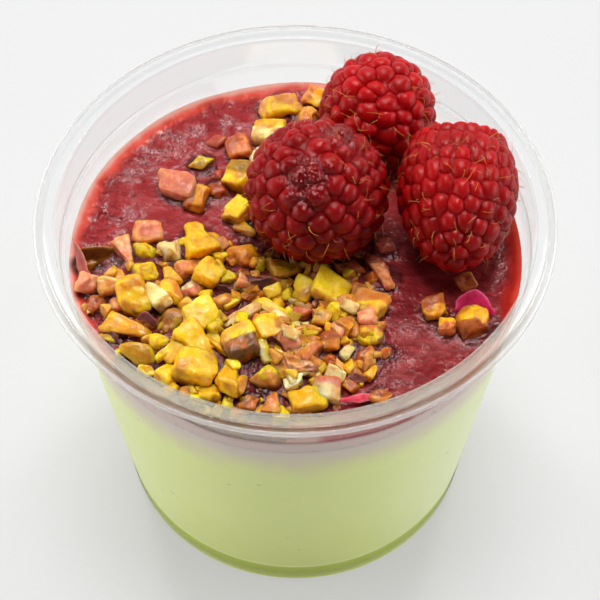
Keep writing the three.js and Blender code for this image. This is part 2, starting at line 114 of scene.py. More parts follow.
# The dessert
GAP = 0.3
FILL_HEIGHT = 58.2
COMPOTE_DEPTH = 3
CREAM_INTO_COMPOTE = 1.1
STAIN_HEIGHTS = (48.5, 59.5)
EDGE_CREEP = 0.7
EDGE_CREEP_WIDTH = 3
RIPPLE = 0.22
WAVE_HEIGHT = 0.3
CRUMPLE_HEIGHT = 0.6
GRAIN_HEIGHT = 0.04
WET_CRUMPLE_HEIGHT = 0.16
MENISCUS = 0.3
MENISCUS_WIDTH = 0.45
MOUNDS = (
    (-16, -22, 15, 3.4),
    (-26, -10, 9, 1.8),
    (-2, -22, 12, 2.2),
    (-9, -6, 9, 1.4),
    (8, -17, 9, 1.4),
)

# The chopped nuts: kind, place, length, width, height, turn, tilt, flesh and second colour
NUTS = (
    ("block", -3.3, 31.7, 7.3, 4.6, 3.7, 25, 8, "yellow", "tan"),
    ("block", 3.8, 33.8, 4.1, 3.9, 3.9, 60, 0, "gold", "tan"),
    ("chip", 2.2, 29.9, 5.7, 4.1, 2.8, 0, 10, "tan", ""),
    ("block", -4.2, 25.2, 6.8, 5.5, 4.5, -12, -6, "cream", "yellow"),
    ("block", -10.0, 21.7, 4.6, 4.1, 3.5, 20, 12, "coral", ""),
    ("chip", -16.4, 18.9, 5.2, 3.2, 2.2, 15, 20, "olive", ""),
    ("block", -19.9, 13.3, 7.5, 5.2, 3.9, -20, 10, "salmon", ""),
    ("block", -17.2, 10.9, 4.8, 3.6, 3.7, 75, -8, "gold", "rust"),
    ("half", -13.5, 13.0, 5.0, 4.3, 2.6, -30, 6, "rose", ""),
    ("block", -9.9, 15.4, 5.7, 5.2, 4.3, -25, 8, "yellow", "olive"),
    ("block", -9.9, 7.6, 4.6, 4.3, 3.9, 50, -10, "lemon", ""),
    ("block", -24.9, 3.2, 5.0, 3.9, 3.2, 10, 6, "pink", ""),
    ("wedge", -28.3, -1.0, 5.2, 3.6, 3.2, -60, 0, "salmon", ""),
    ("half", -25.3, -0.8, 6.4, 3.9, 2.6, -38, 24, "green", ""),
    ("half", -21.0, -1.0, 6.2, 5.7, 3.7, -30, 10, "cream", ""),
    ("wedge", -16.5, 1.6, 7.3, 6.2, 4.5, 110, 8, "yellow", ""),
    ("half", -8.1, -2.2, 8.7, 5.9, 4.1, -15, -8, "amber", "gold"),
    ("wedge", -1.3, -4.7, 6.2, 4.6, 3.2, 10, 10, "green", "olive"),
    ("block", -14.0, -6.1, 5.0, 4.6, 3.9, 60, 12, "yellow", ""),
    ("half", -24.5, -5.8, 6.6, 4.3, 3.2, -25, 16, "green", ""),
    ("block", -26.3, -11.3, 7.3, 5.5, 4.5, -65, 6, "yellow", ""),
    ("block", -22.4, -11.5, 5.5, 3.4, 3.5, -50, 12, "cream", ""),
    ("wedge", -20.0, -10.2, 5.9, 4.3, 3.7, -50, -12, "gold", "amber"),
    ("half", -7.2, -8.6, 10.7, 5.5, 3.7, 5, 12, "amber", "plum"),
    ("half", -12.0, -11.7, 6.2, 4.6, 3.5, -20, 0, "tan", ""),
    ("chip", -34.6, -3.1, 5.2, 3.2, 1.9, 5, 30, "brown", ""),
    ("block", -33.9, -7.9, 4.1, 3.6, 3.5, 75, 0, "pink", ""),
    ("wedge", -26.6, -16.8, 9.6, 4.1, 3.2, -25, 14, "amber", "gold"),
    ("chip", -20.0, -16.2, 7.5, 4.1, 2.2, 20, 26, "olive", "brown"),
    ("block", -15.4, -16.3, 5.5, 4.6, 3.9, 30, 8, "lemon", ""),
    ("stick", -8.5, -14.5, 8.2, 2.3, 1.9, 39, 0, "ivory", ""),
    ("stick", -2.9, -13.4, 7.5, 2.4, 2.1, -38, 0, "lemon", ""),
    ("block", -4.4, -18.1, 5.0, 4.3, 3.7, 20, 10, "yellow", ""),
    ("half", -21.9, -20.2, 6.4, 4.6, 3.7, -10, 0, "green", ""),
    ("chip", -24.3, -22.6, 9.8, 4.3, 2.4, -22, 32, "olive", ""),
    ("wedge", -15.7, -22.0, 9.3, 5.0, 4.3, -45, -8, "gold", ""),
    ("block", -8.4, -21.6, 7.1, 5.7, 4.5, 200, 6, "green", "plum"),
    ("block", -15.5, -26.5, 7.3, 5.7, 4.8, -10, -10, "yellow", ""),
    ("wedge", -10.4, -26.4, 7.5, 4.3, 3.7, 80, 8, "gold", ""),
    ("half", -4.0, -26.7, 7.3, 5.0, 3.5, 15, 0, "tan", "green"),
    ("block", 5.7, -8.6, 6.4, 5.9, 4.3, -20, 6, "lemon", ""),
    ("block", 1.5, -8.7, 4.6, 3.9, 3.5, 60, -6, "green", ""),
    ("chip", 0.1, -13.5, 7.3, 3.4, 2.2, -5, 12, "coral", ""),
    ("half", 11.2, -18.2, 8.2, 6.2, 3.5, 20, 10, "yellow", "coral"),
    ("block", 11.8, -12.1, 6.4, 5.2, 3.0, -30, 0, "lemon", "tan"),
    ("wedge", 14.6, -5.7, 6.2, 3.4, 3.0, -70, 10, "salmon", ""),
    ("chip", 8.8, -3.8, 5.9, 3.6, 2.4, -20, 0, "rose", "plum"),
    ("half", 11.2, -22.6, 6.6, 4.8, 3.0, 70, 14, "tan", "rust"),
    ("block", 4.9, -28.4, 5.2, 4.6, 3.9, -20, 8, "cream", "pink"),
    ("block", 2.3, -30.5, 6.4, 3.9, 3.7, 8, 0, "yellow", ""),
    ("block", 22.5, -12.6, 4.3, 3.6, 3.0, 15, 0, "gold", "rust"),
    ("half", 29.4, -15.2, 8.2, 6.8, 5.4, 60, 30, "gold", "bark"),
    ("half", -5.9, -4.2, 4.3, 3.4, 2.8, 70, 10, "olive", ""),
    ("block", -30.4, -8.7, 4.6, 3.2, 3.2, 20, 8, "salmon", "cream"),
    ("chip", -32.4, -11.8, 3.9, 3.4, 2.4, 60, 16, "rose", ""),
    ("half", -12.7, -18.6, 4.3, 3.9, 3.2, 0, 10, "green", ""),
    ("block", -20.0, -27.0, 3.2, 3.0, 3.0, 50, 0, "yellow", ""),
    ("chip", -23.3, -25.6, 4.1, 2.7, 2.2, -20, 20, "lemon", ""),
    ("half", -1.4, -8.9, 3.9, 3.4, 2.8, 40, 0, "yellow", ""),
    ("wedge", 7.4, -13.4, 4.8, 3.4, 3.0, 35, 0, "lemon", ""),
    ("wedge", 8.4, -16.8, 5.2, 3.2, 3.2, 60, 12, "gold", "tan"),
    ("block", 24.5, -16.0, 3.4, 3.0, 2.6, -15, 0, "coral", "gold"),
    ("wedge", -8.2, 4.2, 4.6, 3.0, 2.4, -40, 10, "tan", "gold"),
    ("block", -0.6, -20.9, 3.9, 3.4, 3.0, 30, 10, "pink", ""),
    ("chip", 2.0, -17.7, 5.0, 2.7, 1.9, -5, 14, "amber", ""),
    ("chip", 2.6, -20.0, 3.9, 2.7, 2.2, 10, 12, "olive", "amber"),
    ("wedge", 2.2, -22.4, 5.2, 4.3, 3.5, 40, 0, "coral", "amber"),
    ("wedge", 0.9, -25.2, 6.2, 4.6, 3.5, -10, 14, "brown", "tan"),
    ("half", 5.6, -23.4, 4.3, 3.9, 3.2, 0, 0, "rust", ""),
    ("block", -0.4, -27.6, 3.2, 2.7, 2.6, 10, 0, "cream", ""),
    ("wedge", -3.6, -30.8, 4.1, 3.0, 2.6, 80, 10, "coral", ""),
    ("stick", -2.7, -23.0, 4.3, 2.1, 2.2, 85, 0, "yellow", ""),
    ("stick", -4.8, -22.8, 4.8, 2.1, 2.2, -70, 0, "ivory", "green"),
    ("wedge", -8.6, -27.9, 4.1, 3.2, 2.8, 60, 10, "tan", "gold"),
    ("chip", -7.3, -30.8, 4.3, 3.2, 2.4, 30, 12, "rose", "plum"),
    ("chip", 13.3, -29.3, 5.0, 3.4, 2.2, 20, 10, "tan", "brown"),
    ("half", 14.5, -20.8, 3.2, 2.5, 1.9, 30, 0, "coral", ""),
    ("half", 15.1, 0.8, 5.2, 4.3, 2.6, -20, 0, "wine", ""),
    ("chip", -17.0, -8.4, 4.6, 3.6, 2.4, 15, 8, "pink", "ivory"),
    ("block", -17.5, -4.2, 4.3, 3.2, 2.4, 25, 0, "salmon", "tan"),
    ("chip", -11.0, -6.9, 4.3, 3.2, 2.2, -30, 20, "olive", ""),
    ("chip", -24.2, -15.9, 5.2, 3.0, 1.7, -25, 24, "plum", "brown"),
    ("block", -19.0, -23.2, 4.3, 3.9, 3.2, 25, 10, "lemon", ""),
    ("wedge", -12.0, -21.8, 5.2, 3.0, 2.6, -55, 0, "yellow", ""),
    ("block", 5.5, -19.9, 3.6, 3.2, 2.6, 0, 10, "amber", "rust"),
)
NUT_SINK = 0.24
NUT_SEED = 7001
NUT_SEED_STEP = 131
NUT_LEAST_CORNER = 0.66
NUT_CORNER_RANGE = 0.5
NUT_PITCH_RANGE = 50
NUT_RELIEF = 0.42
NUT_WEAR = 0.05
NUT_NOISE_STEP = 7.3
CHIP_REACH = 0.76
NUT_SOFTEST = 12
NUT_SHARPNESS_RANGE = 30
FILLER_COUNT = 20
FILLER_SEED = 4021
FILLER_SMALLEST = 2.4
FILLER_LARGEST = 4
FILLER_SPACING = 0.36
FILLER_SINK = 0.12
FILLER_REACH = 35
FILLER_MOUND = 0.35
FILLER_KINDS = ("block", "wedge", "chip", "block")
FILLER_LEAST_WIDTH = 0.65
FILLER_LEAST_HEIGHT = 0.55
FILLER_SIZE_RANGE = 0.3
FILLER_TILT = 20

# Ways that the skinned side of a nut faces, by its row, where it isn't across its width
SKIN_WAYS = {23: (0.1, 0.75, 0.65), 36: (0.3, -0.9, 0.05), 51: (0.1, -0.85, 0.25)}
SKIN_START = {51: 0.05}

# Half-sunk pieces that only the visual model has, in the same form as the nuts
SUNK_PIECES = (
    ("chip", -13.6, 24.0, 4.6, 3.6, 2.4, 10, 0, "wine", ""),
    ("half", -13.8, 16.6, 4.0, 3.2, 2.4, 40, 0, "wine", ""),
    ("half", -13.0, 2.2, 3.6, 2.8, 2.4, -10, 0, "wine", ""),
    ("block", -6.6, 20.2, 2.4, 3.2, 3.6, -20, 0, "lilac", ""),
    ("block", 28.0, -6.6, 3.2, 3.4, 2.6, 25, 0, "coral", "wine"),
    ("half", 10.6, -0.6, 3.6, 2.6, 2.2, 15, 0, "rust", "wine"),
    ("block", 13.0, -2.6, 3.0, 2.2, 2.0, -25, 0, "wine", ""),
    ("chip", -19.6, 1.4, 5.4, 1.6, 2.2, 20, 0, "pink", ""),
    ("half", -33.0, -11.4, 4.6, 3.6, 3.0, 40, 0, "coral", "wine"),
    ("half", -30.0, -14.2, 4.4, 3.0, 2.6, -30, 0, "brown", "plum"),
    ("block", -28.6, -12.2, 2.8, 2.4, 2.4, 10, 0, "salmon", ""),
)
SUNK_SHARE = 0.5

# Splinters and crumbs of nut that only the visual model has, inside the outline of the heap
HEAP = (
    (-36, -2), (-27, 5), (-20, 3), (-10, 2), (0, -2), (10, -3), (14, -8), (13, -20),
    (12, -28), (0, -35), (-15, -32), (-28, -22), (-36, -10),
)
SPLINTER_COUNT = 180
SPLINTER_SIZES = (1.5, 3.4)
SPLINTER_LEAST_WIDTH = 0.5
SPLINTER_LEAST_HEIGHT = 0.4
SPLINTER_SIZE_RANGE = 0.4
SPLINTER_TILT = 30
SPLINTER_SINK = 0.15
SPLINTER_LIFT = 0.5
CRUMB_COUNT = 170
CRUMB_SIZES = (0.6, 1.6)
CRUMB_SEED = 977
HEAP_REACH = 40
LEFT_SHARE = 0.22

# The raspberries: node, middle of the widest part, way to the tip, radius, length, bluntness
# of the tip, spacing of the rows, width of a drupelet at the open end and at the tip, and seed
RASPBERRIES = (
    ("raspberry_front", (3.7, 4.9, 67.9), (-0.25, -0.42, 0.87), 12.0, 20.5, 2.3, 3.7, (3.4, 3.9), 11),
    ("raspberry_back", (14.1, 24.2, 65.1), (0.08, 0.02, 1), 10.2, 18.8, 2.3, 3.7, (3.0, 3.9), 23),
    ("raspberry_right", (26.6, 4.6, 68.8), (-0.06, -0.95, -0.27), 10.1, 22.8, 1.8, 3.5, (2.1, 3.7), 37),
)
# Where juice wets the front raspberry, and how far
JUICE_PLACES = (((1.5, -1.6, 78.0), 4.4), ((6.7, 7.8, 79.1), 3.4))
WIDEST = 0.38
OPEN_END_RADIUS = 0.78
ROW_SPACING = 0.88
DRUPELET_JITTER = 0.16
HOLLOW_DEPTH = 4
OUTLINE_STEPS = 200
OUTLINE_POINTS = 240
DRUPELET_SWELL = 0.7
DRUPELET_CREASE = 0.18
CREASE_WIDTH = 0.3
DEEPEST_CREASE = 0.23
STREAK_DEPTH = 0.07
SKIN_RELIEF = 0.05
DRUPELET_WARP = 0.3
POLE_RADIUS = 0.001
HAIR_COUNT = 110
HAIR_LENGTHS = (1.9, 3.3)
HAIR_THICKNESS = 0.08
HAIR_ROOT = 0.8

# How fine the meshes are
DISC_CELLS = 250
CUP_SEGMENTS = 192
NUT_CELLS = 13
SPLINTER_CELLS = 8
CRUMB_CELLS = 4
BERRY_AROUND = 290
BERRY_ALONG = 195
SCRAP_STEPS = 24
SCRAP_AROUND = 12
HAIR_STEPS = 6
HAIR_AROUND = 3

# The floor and the lamps, in metres and watts: name, place, target, width and power
FLOOR_REACH = 1.5
LIGHTS = (
    ("softbox_above", (0, 0.14, 1), (0, 0, 0.03), 0.44, 7.5),
    ("glint", (0, -0.5, 0.9), (0, 0, 0.06), 0.08, 0.35),
    ("softbox_side", (-1, -0.05, 0.3), (0, 0, 0.04), 0.6, 3.5),
    ("key", (-0.2, 0.34, 0.6), (0, 0, 0.06), 0.1, 1),
    ("softbox_side", (1, -0.05, 0.3), (0, 0, 0.04), 0.6, 3.5),
    ("key", (0.2, 0.34, 0.6), (0, 0, 0.06), 0.1, 1),
)

# How the brightness of the walls spreads along an axis: from, to, and the strength at each
WORLD_SPREADS = (("Z", 0.1, 0.7, 0.95, 0.1), ("Y", -1, 0.3, 0.4, 1.1))


def srgb(red, green, blue):
    """The linear colour, with full alpha, of an 8-bit sRGB colour."""
    shares = (value / 255 for value in (red, green, blue))
    return (*(s / 12.92 if s <= 0.04045 else ((s + 0.055) / 1.055) ** 2.4 for s in shares), 1.0)


# Paints of the plastic: the front veil and groove paints are painted refraction of the dessert, the lip
# paint a painted highlight, the foot paint painted refraction of the cream and the sole paint painted
# shade
CLEAR_PAINT = srgb(250, 252, 252)
VEIL_PAINT = srgb(238, 240, 242)
FRONT_VEIL_REFRACTION_PAINT = srgb(198, 202, 184)
GROOVE_PAINT = srgb(226, 228, 228)
FRONT_GROOVE_REFRACTION_PAINT = srgb(132, 104, 72)
LIP_HIGHLIGHT_PAINT = srgb(236, 238, 236)
FOOT_REFRACTION_PAINT = srgb(236, 246, 106)
SOLE_SHADE_PAINT = srgb(160, 170, 84)

# Paints of the cream: the side paint is painted light, the heel paint painted shade and the line paint
# a painted highlight
CREAM_PAINT = srgb(230, 239, 150)
CREAM_LIGHT_PAINT = srgb(236, 244, 162)
CREAM_LOW_PAINT = srgb(220, 230, 130)
CREAM_SIDE_LIGHT_PAINT = srgb(234, 242, 192)
CREAM_STAIN_PAINT = srgb(222, 206, 192)
CREAM_HEEL_SHADE_PAINT = srgb(194, 210, 78)
CREAM_HIGHLIGHT_LINE_PAINT = srgb(244, 250, 176)
FLECK_PAINT = srgb(150, 156, 96)

COMPOTE_PAINTS = {
    "plain": srgb(138, 32, 36),
    "mottle": srgb(104, 14, 18),
    "shaded": srgb(98, 18, 22),
    "edge": srgb(202, 70, 54),
    "rim": srgb(220, 168, 154),
    "right edge": srgb(160, 28, 20),
    "right rim": srgb(206, 70, 52),
    # Painted shade, with darker syrup, among and under the nuts
    "hollow": srgb(62, 12, 14),
}

# The compote's side, seen through the wall, and the front strip of its top, painted in the greyer
# colours it shows through the wall as painted refraction, and the bands on that strip: first and last
# angle, and colour
SIDE_ROWS = 6
SIDE_COLOUR = srgb(214, 194, 186)
STRIP_COLOUR = srgb(142, 120, 110)
STRIP_BANDS = (
    (-116, -93, srgb(114, 104, 95)),
    (-83, -62, srgb(118, 66, 62)),
)

NUT_COLOURS = {
    "yellow": srgb(252, 202, 12),
    "gold": srgb(250, 174, 8),
    "lemon": srgb(255, 218, 58),
    "green": srgb(208, 180, 10),
    "olive": srgb(156, 128, 16),
    "cream": srgb(255, 234, 164),
    "ivory": srgb(222, 204, 146),
    "amber": srgb(212, 128, 24),
    "tan": srgb(212, 146, 74),
    "coral": srgb(212, 112, 62),
    "salmon": srgb(232, 144, 104),
    "pink": srgb(212, 112, 98),
    "rose": srgb(160, 74, 54),
    "rust": srgb(146, 64, 18),
    "brown": srgb(110, 58, 18),
    "plum": srgb(52, 14, 20),
    "wine": srgb(142, 44, 46),
    "lilac": srgb(226, 190, 206),
    "bark": srgb(146, 60, 6),
}

# The colour that mottles each of them, and the palettes of the small pieces
SECOND_TINTS = {
    "yellow": "gold", "gold": "yellow", "lemon": "yellow", "green": "yellow", "olive": "green",
    "cream": "ivory", "ivory": "tan", "amber": "gold", "tan": "amber", "coral": "rose",
    "salmon": "pink", "pink": "salmon", "rose": "rust", "rust": "amber", "brown": "tan",
    "plum": "brown", "wine": "rose", "lilac": "cream",
}
LEFT_COLOURS = ("yellow", "lemon", "green", "gold", "amber", "brown", "tan", "amber")
RIGHT_COLOURS = ("tan", "amber", "olive", "brown", "salmon", "rust", "gold", "cream", "lemon", "amber")

# The nuts' edge tint, and the tint of their lower parts: soaked juice and painted shade
NUT_EDGE_TINT = srgb(176, 96, 36)
NUT_SOAK_AND_SHADE_TINT = srgb(96, 34, 12)

# Colours of the rims and of what soaks into the nuts, at the left and right of the heap
LEFT_TINTS = (srgb(190, 138, 12), srgb(186, 146, 10))
RIGHT_TINTS = (srgb(178, 88, 24), srgb(186, 92, 44))

# Colours of each raspberry's drupelets, and of its creases painted darker as painted shade
BERRY_PAINTS = {
    "raspberry_front": (srgb(118, 2, 5), srgb(98, 1, 3)),
    "raspberry_back": (srgb(138, 4, 8), srgb(118, 2, 5)),
    "raspberry_right": (srgb(136, 4, 7), srgb(116, 2, 5)),
}

SCRAP_CURL = 0.22
SCRAP_CRUMPLE = 0.25

# Scraps of petal and skin: start, bend and end with their lift off the compote, width,
# thickness, lean of the width from flat to upright, and the 8-bit colours of middle and edge
SCRAPS = (
    ((26.0, -13.0, 0.8), (28.8, -8.0, 2.2), (32.4, -14.0, 1.2),
     3.2, 0.35, 55, (198, 26, 90), (216, 70, 122)),
    ((6.6, -30.4, 1.6), (10, -30.4, 0.9), (14.8, -28.0, 0.7),
     1.2, 0.6, 20, (212, 52, 72), (236, 120, 128)),
    ((-36.8, -0.6, 3.4), (-35.4, -3.6, 2.4), (-33.6, -7.6, 0.6),
     3.4, 0.5, 70, (176, 84, 72), (206, 120, 104)),
    ((-36.2, -2.2, 2.6), (-33.4, -2.8, 2.4), (-30.2, -1.8, 3.0),
     3.6, 0.5, 80, (116, 66, 20), (166, 122, 40)),
    ((-31.6, -5.4, 0.6), (-30.6, -4.0, 0.9), (-30.2, -6.8, 0.6),
     1.4, 0.4, 50, (112, 44, 92), (150, 90, 140)),
    ((-25.4, -15.6, 1.8), (-24.0, -15.4, 2.6), (-22.4, -16.8, 1.4),
     1.8, 0.4, 60, (110, 54, 60), (150, 96, 80)),
    ((-31.0, -17.6, 0.8), (-29.8, -17.4, 1.6), (-28.4, -19.0, 0.8),
     1.6, 0.4, 60, (96, 40, 56), (136, 76, 70)),
    ((-12.8, -9.0, 1.2), (-11.6, -9.4, 2.0), (-10.2, -10.6, 1.2),
     1.3, 0.4, 60, (58, 18, 22), (120, 70, 40)),
    ((-4.4, -20.6, 1.6), (-2.8, -20.6, 2.4), (-1.6, -22.8, 1.6),
     1.3, 0.4, 60, (70, 22, 30), (130, 70, 44)),
    ((2.6, -11.2, 1.0), (4.4, -11.6, 1.6), (6.4, -10.8, 1.0),
     1.8, 0.4, 40, (96, 40, 34), (150, 90, 60)),
    ((8.0, -26.2, 0.8), (9.6, -25.4, 1.4), (11.4, -26.2, 0.8),
     1.6, 0.4, 30, (110, 44, 36), (164, 100, 70)),
)


# Numbers

def random_stream(seed):
    """Seeded numbers from 0 to 1, the same as the solids' own stream."""
    state = seed
    while True:
        state = (state * 1664525 + 1013904223) % 4294967296
        yield state / 4294967296


def smooth_noise(points, size, seed):
    """Smooth values from -1 to 1 that vary over the given size in millimetres."""
    period = 64
    lattice = np.random.default_rng(seed).uniform(-1, 1, (period,) * 3)
    cell = points / size
    corner = np.floor(cell).astype(int)
    share = cell - corner
    share = share * share * (3 - 2 * share)
    total = np.zeros(len(points))
    for step in np.ndindex(2, 2, 2):
        weight = np.prod(np.where(step, share, 1 - share), axis=1)
        place = (corner + step) % period
        total += weight * lattice[place[:, 0], place[:, 1], place[:, 2]]
    return total


def layered_noise(points, size, seed, layers=3):
    """Noise whose finer layers are half as large and half as strong."""
    return sum(smooth_noise(points, size / 2**k, seed + k) / 2**k for k in range(layers))


def ease(low, high, value):
    """0 below low, 1 above high and smooth between them."""
    share = np.clip((value - low) / (high - low), 0, 1)
    return share * share * (3 - 2 * share)


def plain(colour, count):
    return np.tile(np.array(colour), (count, 1))


def painted(paint, shades):
    """The colours with each shade laid over them in turn, by its share at every point."""
    for share, colour in shades:
        paint = paint * (1 - share[:, None]) + np.array(colour) * share[:, None]
    return paint


# Meshes

def new_piece(name, points, faces, material, nodes=(), colours=None):
    """A smooth mesh piece on the one body, from points in millimetres.

    The colours hold, by name, a colour or one number for each point.
    """
    mesh = bpy.data.meshes.new(name)
    mesh.from_pydata((np.asarray(points) * MM).tolist(), [], [list(face) for face in faces])
    mesh.polygons.foreach_set("use_smooth", [True] * len(mesh.polygons))
    for label, values in (colours or {}).items():
        values = np.asarray(values, dtype=np.float32)
        if values.ndim == 1:
            values = np.repeat(values[:, None], 4, axis=1)
        layer = mesh.color_attributes.new(label, "FLOAT_COLOR", "POINT")
        layer.data.foreach_set("color", values.ravel())
    mesh.materials.append(material)
    mesh.validate()
    mesh.update()
    piece = bpy.data.objects.new(name, mesh)
    bpy.context.scene.collection.objects.link(piece)
    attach(piece, "root")
    if nodes:
        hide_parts(*nodes)
    return piece


def grid_faces(rows, columns, first=0):
    """Quads of a grid that is closed across its columns, from its first point on."""
    faces = []
    for row in range(rows - 1):
        for column in range(columns):
            after = (column + 1) % columns
            low, high = first + row * columns, first + (row + 1) * columns
            faces.append((low + column, low + after, high + after, high + column))
    return faces


def swung(outline, count):
    """Points of the [radius, z] outline, each swung round the axis in a ring."""
    angles = np.arange(count) / count * 2 * math.pi
    points = np.empty((len(outline), count, 3))
    points[:, :, 0] = outline[:, :1] * np.cos(angles)
    points[:, :, 1] = outline[:, :1] * np.sin(angles)
    points[:, :, 2] = outline[:, 1:]
    return points.reshape(-1, 3)


def turned(profile, segments):
    """Points and faces of the solid whose [radius, z] outline starts and ends on the axis."""
    rings = np.array(profile[1:-1])
    points = swung(rings, segments)
    faces = grid_faces(len(rings), segments)
    first, last = len(rings) * segments, len(rings) * segments + 1
    top = (len(rings) - 1) * segments
    for k in range(segments):
        after = (k + 1) % segments
        faces.append((first, after, k))
        faces.append((last, top + k, top + after))
    ends = [(0, 0, profile[0][1]), (0, 0, profile[-1][1])]
    return np.vstack([points, ends]), faces


def rounded(profile, radius):
    """The outline with each inner corner rounded by up to the given radius."""
    path = [Vector(point) for point in profile]
    result = [path[0]]
    for before, corner, after in zip(path, path[1:], path[2:]):
        back, on = before - corner, after - corner
        cut = min(radius, back.length * 0.45, on.length * 0.45)
        start, end = corner + back.normalized() * cut, corner + on.normalized() * cut
        for k in range(ROUNDING_STEPS + 1):
            share = k / ROUNDING_STEPS
            result.append(start * (1 - share) ** 2 + corner * 2 * share * (1 - share) + end * share**2)
    result.append(path[-1])
    return [tuple(point) for point in result]


# Materials

def map_range(nodes, low, high, to_low, to_high):
    """A node that moves a value smoothly from one range to another, with its ends held."""
    node = nodes.new("ShaderNodeMapRange")
    node.interpolation_type = "SMOOTHSTEP"
    numbers = {"From Min": low, "From Max": high, "To Min": to_low, "To Max": to_high}
    for name, number in numbers.items():
        node.inputs[name].default_value = number
    return node


class Look:
    """A node material under construction, with its textures in the object's own metres."""

    def __init__(self, name):
        self.material = bpy.data.materials.new(name)
        self.material.use_nodes = True
        self.nodes = self.material.node_tree.nodes
        self.shader = self.nodes["Principled BSDF"]
        self.place = self.nodes.new("ShaderNodeTexCoord").outputs["Object"]

    def put(self, value, socket):
        """Sets a socket to a number or a colour, or links it to another socket."""
        if isinstance(value, bpy.types.NodeSocket):
            self.material.node_tree.links.new(value, socket)
        else:
            socket.default_value = value

    def set(self, **values):
        """Sets or links the shader's own sockets: names have _ for a space."""
        for name, value in values.items():
            self.put(value, self.shader.inputs[name.replace("_", " ")])

    def noise(self, size, detail=4.0, roughness=0.55, stretch=None):
        """A noise texture whose features are about the given size in millimetres."""
        node = self.nodes.new("ShaderNodeTexNoise")
        node.inputs["Scale"].default_value = 1 / (size * MM)
        node.inputs["Detail"].default_value = detail
        node.inputs["Roughness"].default_value = roughness
        place = self.place
        if stretch:
            mapping = self.nodes.new("ShaderNodeMapping")
            mapping.inputs["Scale"].default_value = stretch
            self.put(place, mapping.inputs["Vector"])
            place = mapping.outputs["Vector"]
        self.put(place, node.inputs["Vector"])
        return node.outputs["Fac"]

    def height(self):
        """The height above the foot, in metres."""
        node = self.nodes.new("ShaderNodeSeparateXYZ")
        self.put(self.place, node.inputs["Vector"])
        return node.outputs["Z"]

    def spread(self, value, low, high, to_low=0.0, to_high=1.0):
        node = map_range(self.nodes, low, high, to_low, to_high)
        self.put(value, node.inputs["Value"])
        return node.outputs["Result"]

    def maths(self, operation, first, second):
        node = self.nodes.new("ShaderNodeMath")
        node.operation = operation
        self.put(first, node.inputs[0])
        self.put(second, node.inputs[1])
        return node.outputs["Value"]

    def times(self, first, second):
        return self.maths("MULTIPLY", first, second)

    def plus(self, first, second):
        return self.maths("ADD", first, second)

    def mix(self, share, first, second, blend="MIX"):
        """A mix of two colours, each a socket or a colour."""
        node = self.nodes.new("ShaderNodeMix")
        node.data_type = "RGBA"
        node.blend_type = blend
        for name, value in (("Factor_Float", share), ("A_Color", first), ("B_Color", second)):
            self.put(value, next(s for s in node.inputs if s.identifier == name))
        return next(s for s in node.outputs if s.identifier == "Result_Color")

    def attribute(self, name):
        node = self.nodes.new("ShaderNodeAttribute")
        node.attribute_name = name
        return node.outputs["Color"]

    def bump(self, height, distance, strength=1.0, under=None):
        """A bump of the given depth in millimetres, over another one if it is given."""
        node = self.nodes.new("ShaderNodeBump")
        node.inputs["Strength"].default_value = strength
        node.inputs["Distance"].default_value = distance * MM
        self.put(height, node.inputs["Height"])
        if under is not None:
            self.put(under, node.inputs["Normal"])
        return node.outputs["Normal"]

    def finish(self, colour, roughness, normal=None):
        self.set(Base_Color=colour, Roughness=roughness)
        if normal is not None:
            self.set(Normal=normal, Coat_Normal=normal)
        return self.material


def clear_plastic():
    look = Look("clear_plastic")
    dense = look.attribute("dense")
    haze = look.spread(look.noise(9, 3, stretch=(1, 1, 0.35)), 0.35, 0.7, 0.015, 0.06)
    look.set(
        IOR=1.45,
        Base_Color=look.attribute("paint"),
        Transmission_Weight=look.attribute("clear"),
        Alpha=dense,
        Roughness=look.plus(haze, look.times(look.attribute("frost"), 0.2)),
        Specular_IOR_Level=look.spread(dense, 0.7, 0.95, 0.5, 0.1),
        Normal=look.bump(look.noise(14, 2, stretch=(1, 1, 0.3)), 0.06, 0.2),
    )
    return look.material


def set_cream():
    """Pale green cream with a pink stain under the compote, painted light on its sides, and painted
    shade on its foot under a painted highlight line.
    """
    look = Look("panna_cotta")
    look.set(Subsurface_Weight=0.3, Subsurface_Scale=0.004, Subsurface_Radius=(1, 0.9, 0.5))
    look.set(Specular_IOR_Level=0.3)
    height = look.height()

    def between(low, high, to_low=0.0, to_high=1.0):
        return look.spread(height, low * MM, high * MM, to_low, to_high)

    green = look.mix(look.noise(12, 3), CREAM_PAINT, CREAM_LIGHT_PAINT)
    green = look.mix(between(6, 34, 0.6, 0), green, CREAM_LOW_PAINT)
    # Painted light: paler towards the left and right sides of the cream, most on the right.
    green = look.mix(look.attribute("side"), green, CREAM_SIDE_LIGHT_PAINT)
    level = look.plus(height, look.times(look.noise(9, 3), 6 * MM))
    stain = look.spread(level, STAIN_HEIGHTS[0] * MM, STAIN_HEIGHTS[1] * MM)
    colour = look.mix(stain, green, CREAM_STAIN_PAINT)
    # Painted shade: the cream below the heel is painted a darker green.
    colour = look.mix(between(HEEL_HEIGHT - 0.9, HEEL_HEIGHT - 0.3), CREAM_HEEL_SHADE_PAINT, colour)
    # Painted highlight: a thin pale line along the heel.
    above = between(HEEL_HEIGHT - 0.5, HEEL_HEIGHT - 0.2)
    below = between(HEEL_HEIGHT - 0.1, HEEL_HEIGHT + 0.4, 0.95, 0)
    colour = look.mix(look.times(above, below), colour, CREAM_HIGHLIGHT_LINE_PAINT)
    flecks = look.spread(look.noise(1.5, 1, stretch=(0.6, 0.6, 1.6)), 0.76, 0.81, 0, 0.6)
    colour = look.mix(flecks, colour, FLECK_PAINT)
    roughness = look.spread(look.noise(3), 0.3, 0.7, 0.3, 0.5)
    return look.finish(colour, roughness, look.bump(look.noise(0.8), 0.05, 0.4))


